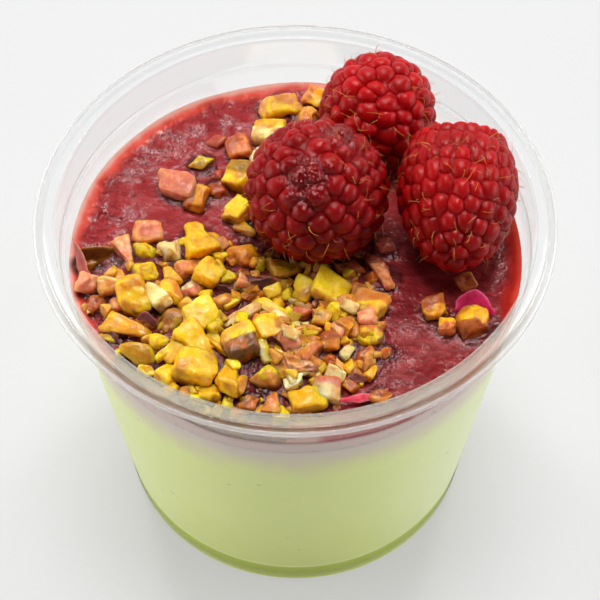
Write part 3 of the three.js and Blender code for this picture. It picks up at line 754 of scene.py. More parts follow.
def compote_look():
    """Dark red sauce with pale streaks, partly fibres and partly a painted sheen, that glitters where
    it is crumpled or wet.
    """
    look = Look("berry_compote")
    look.set(Subsurface_Weight=0.12, Subsurface_Scale=0.002, Subsurface_Radius=(1, 0.25, 0.2))
    look.set(Specular_Tint=(1, 0.62, 0.58, 1), Coat_Roughness=0.06, Coat_IOR=2.2)
    top = look.attribute("top")
    patches = look.spread(look.noise(3, 5, 0.65), 0.47, 0.6)
    least = look.plus(look.times(look.attribute("rough"), 0.9), 0.1)
    glitter = look.times(look.times(patches, least), top)
    glitter = look.maths("MAXIMUM", glitter, look.times(look.attribute("wet"), 0.12))
    look.set(Coat_Weight=look.times(glitter, 0.65))
    look.set(Specular_IOR_Level=look.plus(look.times(glitter, 0.8), 0.16))

    # Pale streaks on the top, partly pale fibres and partly a painted sheen
    pale = look.spread(look.noise(1.6, 6, 0.6, stretch=(0.5, 1.4, 1)), 0.42, 0.72, 0, 0.48)
    dark = look.spread(look.noise(0.9, 4), 0.5, 0.72, 0, 0.5)
    mottle = look.mix(look.times(pale, top), look.attribute("paint"), srgb(176, 64, 66))
    colour = look.mix(look.times(dark, top), mottle, srgb(84, 10, 14))
    roughness = look.spread(look.noise(0.9, 5), 0.35, 0.7, 0.26, 0.5)
    roughness = look.times(roughness, look.spread(glitter, 0, 0.6, 1, 0.45))
    ripple = look.bump(look.times(look.noise(1.6, 2), top), 0.18, 0.8)
    fold = look.maths("SUBTRACT", look.noise(0.75, 2, 0.5), 0.5)
    crinkle = look.times(look.times(fold, look.plus(glitter, 0.15)), top)
    return look.finish(colour, roughness, look.bump(crinkle, 0.9, 1, ripple))


def nut_look():
    look = Look("chopped_nuts")
    look.set(Subsurface_Weight=0.6, Subsurface_Scale=0.0034, Subsurface_Radius=(1, 0.6, 0.12))
    look.set(Specular_IOR_Level=0.14, Coat_Weight=0.29, Coat_Roughness=0.09, Coat_IOR=1.7)
    paint = look.attribute("paint")
    streaks = look.spread(look.noise(0.7, 5, 0.6, stretch=(1.8, 0.7, 1.2)), 0.42, 0.7, 0, 0.5)
    darker = look.mix(1.0, paint, (0.7, 0.54, 0.26, 1), "MULTIPLY")
    streaked = look.mix(streaks, paint, darker)
    lighter = look.mix(0.3, paint, srgb(255, 228, 104))
    light = look.spread(look.noise(1.1, 3, 0.5), 0.45, 0.7, 0, 0.8)
    colour = look.mix(look.times(light, look.attribute("pale")), streaked, lighter)
    roughness = look.spread(look.noise(0.6), 0.3, 0.7, 0.25, 0.5)
    grain = look.bump(look.noise(0.4, 3, 0.5, stretch=(2, 0.8, 1.2)), 0.08, 0.8)
    return look.finish(colour, roughness, look.bump(look.noise(0.9, 3, 0.5), 0.18, 0.9, grain))


def petal_look():
    look = Look("petals_and_skins")
    look.set(Subsurface_Weight=0.3, Subsurface_Scale=0.001, Subsurface_Radius=(1, 0.4, 0.5))
    look.set(Specular_IOR_Level=0.3)
    paint = look.attribute("paint")
    darker = look.mix(1.0, paint, (0.55, 0.4, 0.5, 1), "MULTIPLY")
    veins = look.spread(look.noise(0.7, 4, 0.6), 0.45, 0.7, 0, 0.6)
    roughness = look.spread(look.noise(0.6), 0.3, 0.7, 0.3, 0.5)
    colour = look.mix(veins, paint, darker)
    return look.finish(colour, roughness, look.bump(look.noise(0.5, 4), 0.1, 0.7))


def berry_look():
    """Waxy red fruit with duller creases and a pink bloom on its tops, partly a painted sheen, under a
    folded film where juice wets it.
    """
    look = Look("raspberry")
    look.set(Subsurface_Weight=0.85, Subsurface_Scale=0.004, Subsurface_Radius=(1, 0.05, 0.04))
    look.set(Coat_Roughness=0.05, Coat_IOR=2)
    juicy = look.attribute("juicy")
    dark = look.attribute("dull")
    shine = look.maths("MAXIMUM", look.spread(dark, 0.05, 0.6, 0.24, 0), look.times(juicy, 0.5))
    look.set(
        Coat_Weight=look.plus(look.times(juicy, 0.16), 0.04),
        Specular_IOR_Level=shine,
        Specular_Tint=look.mix(juicy, (1, 0.55, 0.5, 1), (1, 0.08, 0.06, 1)),
    )
    # A pink bloom, partly the fruit's own bloom and partly a painted sheen, kept to the tops and off
    # the creases and underside
    bloom_and_sheen = look.spread(look.noise(0.4, 6), 0.5, 0.8, 0, 0.1)
    bloom_and_sheen = look.times(bloom_and_sheen, look.spread(dark, 0, 0.3, 1, 0.1))
    colour = look.mix(bloom_and_sheen, look.attribute("paint"), srgb(196, 70, 72))
    roughness = look.spread(look.noise(0.5, 5), 0.3, 0.7, 0.28, 0.46)
    roughness = look.times(roughness, look.spread(juicy, 0, 1, 1, 0.3))
    skin = look.bump(look.noise(0.3, 5, 0.65), 0.06, 0.6)
    folds = look.times(look.maths("SUBTRACT", look.noise(1.3, 2, 0.5), 0.5), juicy)
    return look.finish(colour, roughness, look.bump(folds, 1.1, 1, skin))


def hair_look():
    look = Look("berry_hair")
    look.set(Specular_IOR_Level=0.4)
    colour = look.mix(look.noise(0.8, 2), srgb(226, 156, 70), srgb(176, 100, 36))
    return look.finish(colour, look.spread(look.noise(0.5, 2), 0.3, 0.7, 0.35, 0.55))


def floor_look():
    look = Look("floor")
    look.set(Specular_IOR_Level=0.2, Emission_Color=(1, 1, 1, 1), Emission_Strength=0.43)
    colour = look.mix(look.noise(60, 2), (0.29, 0.29, 0.292, 1), (0.3, 0.3, 0.302, 1))
    return look.finish(colour, look.spread(look.noise(20, 2), 0.3, 0.7, 0.55, 0.65))


# The cup

def outer_wall(z):
    return HEEL_RADIUS + (z - HEEL_HEIGHT) * WALL_SLOPE


def inner_wall(z):
    return outer_wall(z) - WALL


def neck_radius():
    return inner_wall(LEDGE_HEIGHT) + LEDGE_WIDTH


def neck_at(z):
    share = (z - LEDGE_HEIGHT) / (CUP_HEIGHT - LEDGE_HEIGHT)
    return neck_radius() + (MOUTH_RADIUS - neck_radius()) * share


def cup_shares(points):
    """Paint, clearness, density and frost of the plastic: veiled at the rim, with painted highlights at
    the lip and ledge, painted refraction at the front of the rim and at the foot, and painted shade at
    the sole.
    """
    across, z = np.hypot(points[:, 0], points[:, 1]), points[:, 2]
    foot = ease(5.6, 2, z)
    # Painted refraction: the plastic from the heel down is painted the cream's green, which shows
    # through it.
    foot_refraction = ease(HEEL_HEIGHT + HEEL_ZONE, HEEL_HEIGHT - HEEL_STEP, z)
    high = ease(CUP_HEIGHT - 1, CUP_HEIGHT - 0.6, z)
    flat = high * ease(RIM_FLAT_RADIUS + 0.15, RIM_FLAT_RADIUS - 0.05, across)
    lip = ease(RIM_SHOULDER_RADIUS, RIM_SHOULDER_RADIUS + 0.2, across)
    groove = high * (1 - flat - lip)
    # Painted refraction: the front of the rim is painted in the dessert's colours, seen through it.
    front = ease(-5, -32, points[:, 1])
    # The ledge ring is made denser, so its pale paint shows as a painted highlight line.
    ledge = np.exp(-((z - LEDGE_HEIGHT - LEDGE_WIDTH) / 0.25) ** 2)
    zones = (
        (flat, VEIL_PAINT),
        (flat * front, FRONT_VEIL_REFRACTION_PAINT),
        (groove, GROOVE_PAINT),
        (groove * front, FRONT_GROOVE_REFRACTION_PAINT),
        # Painted highlight: the lip is painted near white.
        (lip, LIP_HIGHLIGHT_PAINT),
        (foot_refraction, FOOT_REFRACTION_PAINT),
        # Painted shade: the sole is painted darker.
        (ease(1.2, 0.4, z), SOLE_SHADE_PAINT),
    )
    seen = flat * (0.3 + 0.7 * front)
    return {
        "paint": painted(plain(CLEAR_PAINT, len(points)), zones),
        "clear": 1 - 0.95 * foot - 0.45 * seen - 0.35 * groove * front - 0.6 * lip - 0.4 * ledge,
        "dense": 0.15 + 0.8 * foot + 0.28 * seen + 0.28 * groove * front + 0.36 * lip + 0.4 * ledge,
        "frost": seen,
    }


def make_cup(material):
    floor = UNDERSIDE_RISE + WALL
    under_ledge = LEDGE_HEIGHT - UNDER_LEDGE_ZONE
    over_ledge = LEDGE_HEIGHT + LEDGE_ZONE
    under_mouth = CUP_HEIGHT - MOUTH_ZONE
    outside = [
        (0, UNDERSIDE_RISE),
        (FOOT_RING_INNER - UNDERSIDE_RISE, UNDERSIDE_RISE),
        (FOOT_RING_INNER, 0),
        (FOOT_RING_OUTER, 0),
        (FOOT_RADIUS, FOOT_ROUNDING * 0.6),
        (HEEL_RADIUS - HEEL_LIP, HEEL_HEIGHT - HEEL_STEP),
        (HEEL_RADIUS, HEEL_HEIGHT),
        (outer_wall(HEEL_HEIGHT + HEEL_ZONE), HEEL_HEIGHT + HEEL_ZONE),
        (outer_wall(under_ledge), under_ledge),
        (outer_wall(LEDGE_HEIGHT), LEDGE_HEIGHT),
        (neck_radius() + WALL, LEDGE_HEIGHT + LEDGE_WIDTH),
        (neck_at(over_ledge) + WALL, over_ledge),
        (neck_at(under_mouth) + WALL, under_mouth),
        (MOUTH_RADIUS + NECK_WALL, CUP_HEIGHT - NECK_WALL),
        (RIM_FLAT_RADIUS, CUP_HEIGHT - NECK_WALL),
        (RIM_RADIUS - NECK_WALL, CUP_HEIGHT - RIM_SKIRT),
        (RIM_RADIUS, CUP_HEIGHT - RIM_SKIRT),
    ]
    rim = [
        (RIM_RADIUS, CUP_HEIGHT - RIM_BEVEL),
        (RIM_SHOULDER_RADIUS + 0.1, CUP_HEIGHT),
        (RIM_SHOULDER_RADIUS - 0.15, CUP_HEIGHT - GROOVE_DEPTH),
        (RIM_FLAT_RADIUS + 0.1, CUP_HEIGHT - GROOVE_DEPTH),
        (RIM_FLAT_RADIUS - 0.1, CUP_HEIGHT),
        (MOUTH_RADIUS, CUP_HEIGHT),
        (neck_at(under_mouth), under_mouth),
    ]
    inside = [
        (neck_at(over_ledge), over_ledge),
        (neck_radius(), LEDGE_HEIGHT + LEDGE_WIDTH),
        (inner_wall(LEDGE_HEIGHT), LEDGE_HEIGHT + LEDGE_WIDTH / 2),
        (inner_wall(under_ledge), under_ledge),
        (inner_wall(HEEL_HEIGHT + INNER_HEEL_ZONE), HEEL_HEIGHT + INNER_HEEL_ZONE),
        (inner_wall(HEEL_HEIGHT), HEEL_HEIGHT + WALL / 2),
        (HEEL_RADIUS - HEEL_LIP - WALL, HEEL_HEIGHT - HEEL_STEP),
        (FOOT_RADIUS - WALL, FOOT_ROUNDING + WALL / 2),
        (FOOT_RING_OUTER - WALL / 2, WALL),
        (FOOT_RING_INNER + WALL / 2, WALL),
        (FOOT_RING_INNER - UNDERSIDE_RISE + WALL / 2, floor),
        (0, floor),
    ]
    points, faces = turned(rounded([*outside, *rim, *inside], SHELL_ROUNDING), CUP_SEGMENTS)
    new_piece("cup_shell", points, faces, material, ["cup"], cup_shares(points))


def make_panna_cotta(material):
    floor = UNDERSIDE_RISE + WALL - INTO_WALL
    top = FILL_HEIGHT - COMPOTE_DEPTH + CREAM_INTO_COMPOTE
    outline = [
        (0, floor),
        (FOOT_RING_INNER - UNDERSIDE_RISE + WALL / 2, floor),
        (FOOT_RING_INNER + WALL / 2, WALL - INTO_WALL),
        (FOOT_RING_OUTER - WALL / 2, WALL - INTO_WALL),
        (FOOT_RADIUS - WALL + INTO_WALL, FOOT_ROUNDING + WALL / 2),
        (HEEL_RADIUS - HEEL_LIP - WALL + INTO_WALL, HEEL_HEIGHT - HEEL_STEP),
        (inner_wall(HEEL_HEIGHT) + INTO_WALL, HEEL_HEIGHT + WALL / 2),
        (inner_wall(top) + INTO_WALL, top),
        (0, top),
    ]
    points, faces = turned(rounded(outline, CREAM_ROUNDING), CUP_SEGMENTS)
    # How far each point lies towards the cream's left or right side, where its colour is painted paler
    # as painted light
    side = ease(8, 34, points[:, 0]) + 0.4 * ease(-14, -34, points[:, 0])
    colours = {"side": side}
    new_piece("panna_cotta_body", points, faces, material, ["panna_cotta"], colours)


# The compote

def mound_rise(x, y):
    rise = 0
    for middle_x, middle_y, radius, height in MOUNDS:
        share = np.minimum(((x - middle_x) ** 2 + (y - middle_y) ** 2) / radius**2, 1)
        rise = rise + height * (1 - share) ** 2
    return rise


def compote_height(x, y):
    ripple = np.sin(0.24 * x + 0.9) * np.cos(0.19 * y - 0.4) * RIPPLE
    inward = inner_wall(FILL_HEIGHT) - GAP - np.hypot(x, y)
    creep = np.maximum(0, 1 - inward / EDGE_CREEP_WIDTH)
    return FILL_HEIGHT + ripple + EDGE_CREEP * creep**2 + mound_rise(x, y)


def disc_grid(cells):
    """Places in a unit disc of an even square grid, with the quads between them."""
    line = np.linspace(-1, 1, cells + 1)
    a, b = (side.ravel() for side in np.meshgrid(line, line, indexing="ij"))
    wide = np.abs(a) > np.abs(b)
    safe_a, safe_b = np.where(a == 0, 1e-9, a), np.where(b == 0, 1e-9, b)
    angle = np.where(wide, math.pi / 4 * b / safe_a, math.pi / 2 - math.pi / 4 * a / safe_b)
    reach = np.where(wide, a, b)
    row = np.arange(cells)
    low = (row[:, None] * (cells + 1) + row).ravel()
    quads = np.stack([low, low + cells + 1, low + cells + 2, low + 1], axis=1)
    return reach * np.cos(angle), reach * np.sin(angle), quads


def strip_paint(x, y):
    """Colours of the compote's front strip, as painted refraction through the wall: pale, with a grey
    and a red band.
    """
    angle = np.degrees(np.arctan2(y, x))
    bands = [
        (ease(first - 3, first + 1, angle) * ease(last + 2, last, angle), colour)
        for first, last, colour in STRIP_BANDS
    ]
    return painted(plain(STRIP_COLOUR, len(x)), bands)


def make_compote(material):
    radius = inner_wall(FILL_HEIGHT) + EDGE_INTO_WALL
    x, y, quads = disc_grid(DISC_CELLS)
    x, y = x * radius, y * radius
    flat = np.stack([x, y, np.zeros_like(x)], axis=1)
    inward = radius - np.hypot(x, y)
    side = ease(2, -22, x - 0.4 * y)
    rough = ease(12, 5, inward + 3 * layered_noise(flat, 5, 17, 2)) * (0.12 + 0.88 * side)
    rough = rough * ease(0.8, 2.2, inward)
    folded = flat + 0.6 * np.stack([smooth_noise(flat, 1.5, 191 + k) for k in range(3)], axis=1)
    crumple = 0.45 - np.abs(layered_noise(folded, 1.5, 5, 3))
    height = compote_height(x, y)
    height = height + WAVE_HEIGHT * layered_noise(flat, 7, 3, 2) * ease(0.5, 4, inward)
    height = height + CRUMPLE_HEIGHT * rough * crumple
    height = height + GRAIN_HEIGHT * layered_noise(flat, 1.4, 9, 3)
    away = np.full(len(x), 99.0)
    for nut in NUTS:
        away = np.minimum(away, np.hypot(x - nut[1], y - nut[2]) - 0.42 * nut[3])
    height = height + MENISCUS * np.exp(-np.maximum(away, 0) / MENISCUS_WIDTH)
    wet = ease(2.5, 0.5, away)
    height = height + WET_CRUMPLE_HEIGHT * wet * (0.5 - np.abs(layered_noise(flat, 1.1, 13, 2)))

    wander = 0.7 * layered_noise(flat, 3, 21, 3)
    edge = ease(2.6, 1, inward + wander)
    rim = ease(1.1, 0.1, inward + 0.3 * wander)
    # Painted refraction: the front strip of the top, next to the wall, takes the colours it shows
    # through the wall.
    front = ease(3.6, 2.8, inward) * ease(-22, -31, y)
    # Partly darker syrup and partly painted shade, among the nuts and under their heap
    shade_among_nuts = np.maximum(ease(0.3, 1.4, mound_rise(x, y)), ease(1.3, 0.1, away))
    right = ease(16, 30, x)
    zones = {
        "mottle": 0.5 * ease(0.1, 0.7, layered_noise(flat, 3.5, 23, 3)),
        "shaded": 0.7 * ease(4, 18, x) * ease(4, -10, y),
        "edge": edge * (1 - 0.8 * right),
        "rim": rim * ease(24, -10, x),
        "right edge": right * ease(3.4, 0.8, inward + wander),
        "right rim": right * ease(1.3, 0, inward + 0.3 * wander),
        "hollow": shade_among_nuts,
    }
    shades = [(share, COMPOTE_PAINTS[name]) for name, share in zones.items()]
    shades.append((front, strip_paint(x, y)))
    paint = painted(plain(COMPOTE_PAINTS["plain"], len(x)), shades)

    cells = DISC_CELLS
    line = np.arange(cells)
    border = np.concatenate([
        line,
        cells + line * (cells + 1),
        (cells + 1) ** 2 - 1 - line,
        (cells + 1) * cells - line * (cells + 1),
    ])
    top = np.stack([x, y, height], axis=1)
    bottom = FILL_HEIGHT - COMPOTE_DEPTH
    rows = [border]
    sides = []
    for row in range(1, SIDE_ROWS + 1):
        share = row / SIDE_ROWS
        around = top[border].copy()
        around[:, 2] += (bottom - around[:, 2]) * share
        reach = EDGE_INTO_WALL + (INTO_WALL - EDGE_INTO_WALL) * share if row < SIDE_ROWS else -GAP
        around[:, :2] *= ((inner_wall(around[:, 2]) + reach) / radius)[:, None]
        sides.append(around)
        rows.append(len(top) + (row - 1) * len(border) + np.arange(len(border)))
    points = np.vstack([top, *sides, [(0, 0, bottom)]])
    below = plain(SIDE_COLOUR, len(points) - len(top))
    faces = quads.tolist()
    count = len(border)
    for high, low in zip(rows, rows[1:]):
        for k in range(count):
            after = (k + 1) % count
            faces.append((int(high[k]), int(low[k]), int(low[after]), int(high[after])))
    faces += [(int(low[k]), len(points) - 1, int(low[(k + 1) % count])) for k in range(count)]
    none = np.zeros(len(below))
    shares = {"wet": wet, "rough": rough, "top": ease(1.2, 3, inward)}
    colours = {name: np.concatenate([share, none]) for name, share in shares.items()}
    colours["paint"] = np.vstack([paint, below])
    nodes = ["berry_compote"]
    piece = new_piece("compote_surface", points, faces, material, nodes, colours)
    on_border = set(border.tolist())
    for edge in piece.data.edges:
        edge.use_edge_sharp = all(point in on_border for point in edge.vertices)


# Chopped nuts, and the scraps of skin and petal among them

def box_corners(far_width, far_height):
    ends = ((-1, 1, 1), (1, far_width, far_height))
    return [(x, y * w, z * h) for x, w, h in ends for y in (-1, 1) for z in (-1, 1)]


def ring_corners(count, radius, z):
    angles = [k / count * 2 * math.pi for k in range(count)]
    return [(radius * math.cos(a), radius * math.sin(a), z) for a in angles]


NUT_CORNERS = {
    "block": box_corners(1, 1),
    "wedge": box_corners(0.3, 0.45),
    "stick": box_corners(0.8, 0.8),
    "chip": [*ring_corners(5, 1, -0.7), *ring_corners(4, 0.9, 0.8)],
    "half": [*ring_corners(6, 1, -0.8), *ring_corners(4, 0.72, 0.4), (0, 0, 1)],
}


def filler_pieces():
    """Small nuts drawn inside the mounds and kept where they don't crowd another piece."""
    stream = random_stream(FILLER_SEED)
    taken = [nut[:8] for nut in NUTS]
    fillers = []
    while len(fillers) < FILLER_COUNT:
        reach = FILLER_REACH * math.sqrt(next(stream))
        angle = next(stream) * 2 * math.pi
        x, y = reach * math.cos(angle), reach * math.sin(angle)
        length = FILLER_SMALLEST + (FILLER_LARGEST - FILLER_SMALLEST) * next(stream)
        kind = FILLER_KINDS[int(next(stream) * len(FILLER_KINDS))]
        width = length * (FILLER_LEAST_WIDTH + FILLER_SIZE_RANGE * next(stream))
        height = length * (FILLER_LEAST_HEIGHT + FILLER_SIZE_RANGE * next(stream))
        turn = next(stream) * 180
        tilt = (next(stream) * 2 - 1) * FILLER_TILT
        crowded = any(
            math.hypot(x - other[1], y - other[2]) < FILLER_SPACING * (length + other[3])
            for other in taken
        )
        if crowded or mound_rise(x, y) < FILLER_MOUND:
            continue
        piece = (kind, x, y, length, width, height, turn, tilt)
        taken.append(piece)
        fillers.append(piece)
    return fillers


def ball_grid(cells):
    """Ways from a cube's middle through an even grid on its faces, with the quads between them."""
    body = bmesh.new()
    bmesh.ops.create_cube(body, size=2)
    bmesh.ops.subdivide_edges(body, edges=body.edges, cuts=cells - 1, use_grid_fill=True)
    body.verts.index_update()
    ways = np.array([vertex.co for vertex in body.verts])
    faces = np.array([[vertex.index for vertex in face.verts] for face in body.faces])
    body.free()
    return np.tan(ways * math.pi / 4), faces


def flat_sides(corners):
    """The planes round the corners' convex body, each as its normal over its distance."""
    body = bmesh.new()
    for corner in corners:
        body.verts.new(corner)
    bmesh.ops.convex_hull(body, input=body.verts)
    body.normal_update()
    sides = [face.normal / face.normal.dot(face.verts[0].co) for face in body.faces]
    body.free()
    return sides


def nut_shape(piece, index, sink, chips, grid):
    """Points of one chopped nut, with worn edges and a torn surface, and the shares of its tints."""
    kind, x, y, length, width, height, turn, tilt = piece
    stream = random_stream(NUT_SEED + NUT_SEED_STEP * index)
    size = np.array((length, width, height))
    pitch = NUT_PITCH_RANGE * (next(stream) - 0.5)
    turning = Matrix.Rotation(math.radians(turn), 3, "Z") @ Matrix.Rotation(math.radians(pitch), 3, "Y")
    turning = np.array(turning @ Matrix.Rotation(math.radians(tilt), 3, "X"))
    middle = np.array((x, y, compote_height(x, y) + height * (0.5 - sink)))
    corners = []
    for corner in NUT_CORNERS[kind]:
        shares = [NUT_LEAST_CORNER + NUT_CORNER_RANGE * next(stream) for _ in range(3)]
        corners.append([c * share * s / 2 for c, share, s in zip(corner, shares, size)])
    sides = flat_sides(corners)
    for _ in range(chips):
        way = Vector([next(stream) * 2 - 1 for _ in range(3)]).normalized()
        sides.append(way / (CHIP_REACH * max(way.dot(Vector(corner)) for corner in corners)))
    sides = np.array(sides)
    sharpness = NUT_SOFTEST + NUT_SHARPNESS_RANGE * next(stream)
    ways = grid[0] * size
    lean = np.maximum(ways @ sides.T, 0)
    points = ways / np.sum(lean**sharpness, axis=1)[:, None] ** (1 / sharpness)
    normals = (np.maximum(points @ sides.T, 0) ** (sharpness - 1)) @ sides
    normals /= np.linalg.norm(normals, axis=1)[:, None]

    places = points + index * NUT_NOISE_STEP
    torn = ease(-0.25, 0.35, smooth_noise(places, 1.8, 91))
    ridges = 0.5 - np.abs(layered_noise(places * (0.6, 1, 1), 0.9, 41, 2))
    steps = 3 * layered_noise(places, 1.9, 111, 2)
    steps = (np.floor(steps) + ease(0.3, 0.7, steps - np.floor(steps))) / 3
    worn = NUT_WEAR * min(size) * layered_noise(places, 2.2, 31, 2)
    worn = worn + NUT_RELIEF * min(1, height / 3) * (0.3 + 0.7 * torn) * (0.6 * ridges + 0.9 * steps)
    points = points + normals * worn[:, None]
    world = points @ turning.T + middle

    facets = (lean / lean.max(axis=1)[:, None]) ** (3 * sharpness)
    facets /= facets.sum(axis=1)[:, None]
    leans = np.sort(lean / lean.max(axis=1)[:, None], axis=1)
    inside = points / (size / 2)
    soak_way = np.array([next(stream) * 2 - 1 for _ in range(3)])
    low = (world[:, 2] - middle[2]) / height + 0.25 * smooth_noise(places, 1.2, 81)
    soaked = inside @ soak_way / np.linalg.norm(soak_way) + 0.35 * smooth_noise(places, 1.4, 101) - low
    skinned = points[:, 1] / width
    if index in SKIN_WAYS:
        skinned = (world - middle) @ np.array(SKIN_WAYS[index]) / height - SKIN_START.get(index, 0)
    shares = {
        "mottle": ease(0.1, 0.5, layered_noise(places, 1.6, 71, 2)) * 0.6,
        "skin": ease(-0.02, 0.06, skinned + 0.2 * smooth_noise(places, 1.5, 51)),
        "rim": ease(0.6, 1.1, np.linalg.norm(inside, axis=1)) * (0.1 + 0.5 * next(stream)),
        "soak": ease(0.1, 1.2, soaked) * (0.35 + 0.5 * next(stream)),
        # Soaked and painted shade: the lower part of each nut is painted darker.
        "wet": ease(0.2, -0.38, low) * 0.95,
        "edge": ease(0.86, 0.98, leans[:, -2]) * ease(-0.5, 0.5, smooth_noise(places, 1.3, 131)) * 0.7,
        "facet": ease(0.5, 0.75, facets @ [next(stream) for _ in sides]) * 0.75,
    }
    tone = 0.88 + 0.4 * facets @ np.array([next(stream) for _ in sides])
    return world, shares, tone


def inside_heap(x, y):
    """Whether a place is inside the outline of the heap of nuts."""
    inside = False
    for (x0, y0), (x1, y1) in zip(HEAP, (*HEAP[1:], HEAP[0])):
        if (y0 > y) != (y1 > y) and x < x0 + (x1 - x0) * (y - y0) / (y1 - y0):
            inside = not inside
    return inside


def on_the_left(x, y):
    """Whether a place is in the yellow and green part of the heap."""
    return x + 0.4 * y < -13


def scattered_pieces(count, smallest, largest, stream):
    """Seeded splinters inside the heap, with their sizes, their colours and how far they lie up."""
    for _ in range(count):
        x, y = HEAP_REACH, HEAP_REACH
        while not inside_heap(x, y) or (on_the_left(x, y) and next(stream) > LEFT_SHARE):
            x, y = (HEAP_REACH * (next(stream) * 2 - 1) for _ in range(2))
        length = smallest + (largest - smallest) * next(stream)
        width = length * (SPLINTER_LEAST_WIDTH + SPLINTER_SIZE_RANGE * next(stream))
        height = length * (SPLINTER_LEAST_HEIGHT + SPLINTER_SIZE_RANGE * next(stream))
        kind = FILLER_KINDS[int(next(stream) * len(FILLER_KINDS))]
        turn = next(stream) * 180
        tilt = next(stream) * 2 * SPLINTER_TILT - SPLINTER_TILT
        palette = LEFT_COLOURS if on_the_left(x, y) else RIGHT_COLOURS
        colour = palette[int(next(stream) * len(palette))]
        lift = next(stream) * min(1, mound_rise(x, y))
        sink = SPLINTER_SINK - SPLINTER_LIFT * lift
        yield (kind, x, y, length, width, height, turn, tilt), sink, colour, ""


def make_nuts(name, material, batch, chips, cells, first):
    """Chopped nuts as one piece, each with its own colours, from their sizes, sinks and colours."""
    grid = ball_grid(cells)
    points, faces, paint = [], [], []
    for order, (piece, sink, colour, skin_colour) in enumerate(batch):
        world, shares, tone = nut_shape(piece, first + order, sink, chips, grid)
        rim, soak = LEFT_TINTS if on_the_left(piece[1], piece[2]) else RIGHT_TINTS
        second = NUT_COLOURS[SECOND_TINTS[colour]]
        colours = painted(plain(NUT_COLOURS[colour], len(world)), (
            (shares["mottle"], second),
            (shares["skin"], NUT_COLOURS[skin_colour or colour]),
            (shares["rim"], rim),
            (shares["soak"], soak),
            (shares["edge"], NUT_EDGE_TINT),
            (shares["facet"] * (not skin_colour), second),
            (shares["wet"], NUT_SOAK_AND_SHADE_TINT),
        ))
        colours[:, :3] *= (tone * (1 + 0.12 * layered_noise(world, 2.5, 61, 2)))[:, None]
        faces += (grid[1] + order * len(world)).tolist()
        points.append(world)
        paint.append(colours)
    points, paint = np.vstack(points), np.vstack(paint)
    pale = ease(0.12, 0.45, paint[:, :3] @ (0.3, 0.6, 0.1))
    colours = {"paint": paint, "pale": pale}
    new_piece(name, points, faces, material, ["berry_compote"], colours)


def make_all_nuts(material):
    stream = random_stream(CRUMB_SEED)
    chopped = [(nut[:8], NUT_SINK, nut[8], nut[9]) for nut in NUTS]
    small = []
    for piece in filler_pieces():
        palette = LEFT_COLOURS if on_the_left(piece[1], piece[2]) else RIGHT_COLOURS
        small.append((piece, FILLER_SINK, palette[int(next(stream) * len(palette))], ""))
    small += [(row[:8], SUNK_SHARE, row[8], row[9]) for row in SUNK_PIECES]
    small += scattered_pieces(SPLINTER_COUNT, *SPLINTER_SIZES, stream)
    crumbs = list(scattered_pieces(CRUMB_COUNT, *CRUMB_SIZES, stream))
    make_nuts("chopped_nuts", material, chopped, 3, NUT_CELLS, 0)
    make_nuts("nut_splinters", material, small, 2, SPLINTER_CELLS, len(chopped))
    make_nuts("nut_crumbs", material, crumbs, 0, CRUMB_CELLS, len(chopped) + len(small))


def make_scraps(material):
    """Thin bent scraps of petal and skin, each along a curve through its start, bend and end."""
    points, faces, paint = [], [], []
    for start, bend, end, width, height, lean, colour, edge_colour in SCRAPS:
        start, bend, end = (np.array(place, dtype=float) for place in (start, bend, end))
        first = sum(len(part) for part in points)
        ring = []
        for step in range(SCRAP_STEPS + 1):
            share = step / SCRAP_STEPS
            centre = start * (1 - share) ** 2 + 2 * bend * share * (1 - share) + end * share**2
            way = (bend - start) * (1 - share) + (end - bend) * share
            flat = np.array((-way[1], way[0], 0)) / max(np.hypot(way[0], way[1]), 1e-6)
            up = np.array((0, 0, 1))
            across = flat * math.cos(math.radians(lean)) + up * math.sin(math.radians(lean))
            through = np.cross(way / np.linalg.norm(way), across)
            wide = width * max(0.06, math.sin(math.pi * (0.04 + 0.92 * share)) ** 0.6) / 2
            lift = compote_height(centre[0], centre[1]) + centre[2]
            middle = np.array((centre[0], centre[1], lift))
            for side in range(SCRAP_AROUND):
                angle = 2 * math.pi * side / SCRAP_AROUND
                aside, thick = wide * math.cos(angle), height / 2 * math.sin(angle)
                curl = SCRAP_CURL * aside**2 / max(wide, 0.1)
                ring.append(middle + across * aside + through * (thick + curl))
        ring = np.array(ring)
        crumple = np.stack([layered_noise(ring, 1.4, 161 + k, 2) for k in range(3)], axis=1)
        ring = ring + SCRAP_CRUMPLE * crumple
        last = first + SCRAP_STEPS * SCRAP_AROUND
        faces += grid_faces(SCRAP_STEPS + 1, SCRAP_AROUND, first)
        faces.append([first + side for side in reversed(range(SCRAP_AROUND))])
        faces.append([last + side for side in range(SCRAP_AROUND)])
        edge = np.abs(np.cos(2 * np.pi * np.arange(SCRAP_AROUND) / SCRAP_AROUND))
        share = ease(0.6, 1, np.tile(edge, SCRAP_STEPS + 1))
        points.append(ring)
        paint.append(painted(plain(srgb(*colour), len(ring)), [(share, srgb(*edge_colour))]))
    points, colours = np.vstack(points), {"paint": np.vstack(paint)}
    nodes = ["berry_compote"]
    new_piece("petals_and_skins", points, faces, material, nodes, colours)


# Raspberries

def outline_radius(share, bluntness):
    """The outline's radius at a share of the length, from the open end at 0 to the tip at 1."""
    share = np.asarray(share, dtype=float)
    base = 1 - (1 - OPEN_END_RADIUS) * ((WIDEST - share) / WIDEST) ** 2
    dome = np.sqrt(np.maximum(0, 1 - np.maximum((share - WIDEST) / (1 - WIDEST), 0) ** bluntness))
    return np.where(share < WIDEST, base, dome)


def berry_placement(middle, tip, length):
    way = Vector(tip).normalized()
    turn = Vector((0, 0, 1)).rotation_difference(way).to_matrix()
    base = Vector(middle) - way * (WIDEST * length)
    return np.array(turn), np.array(base)


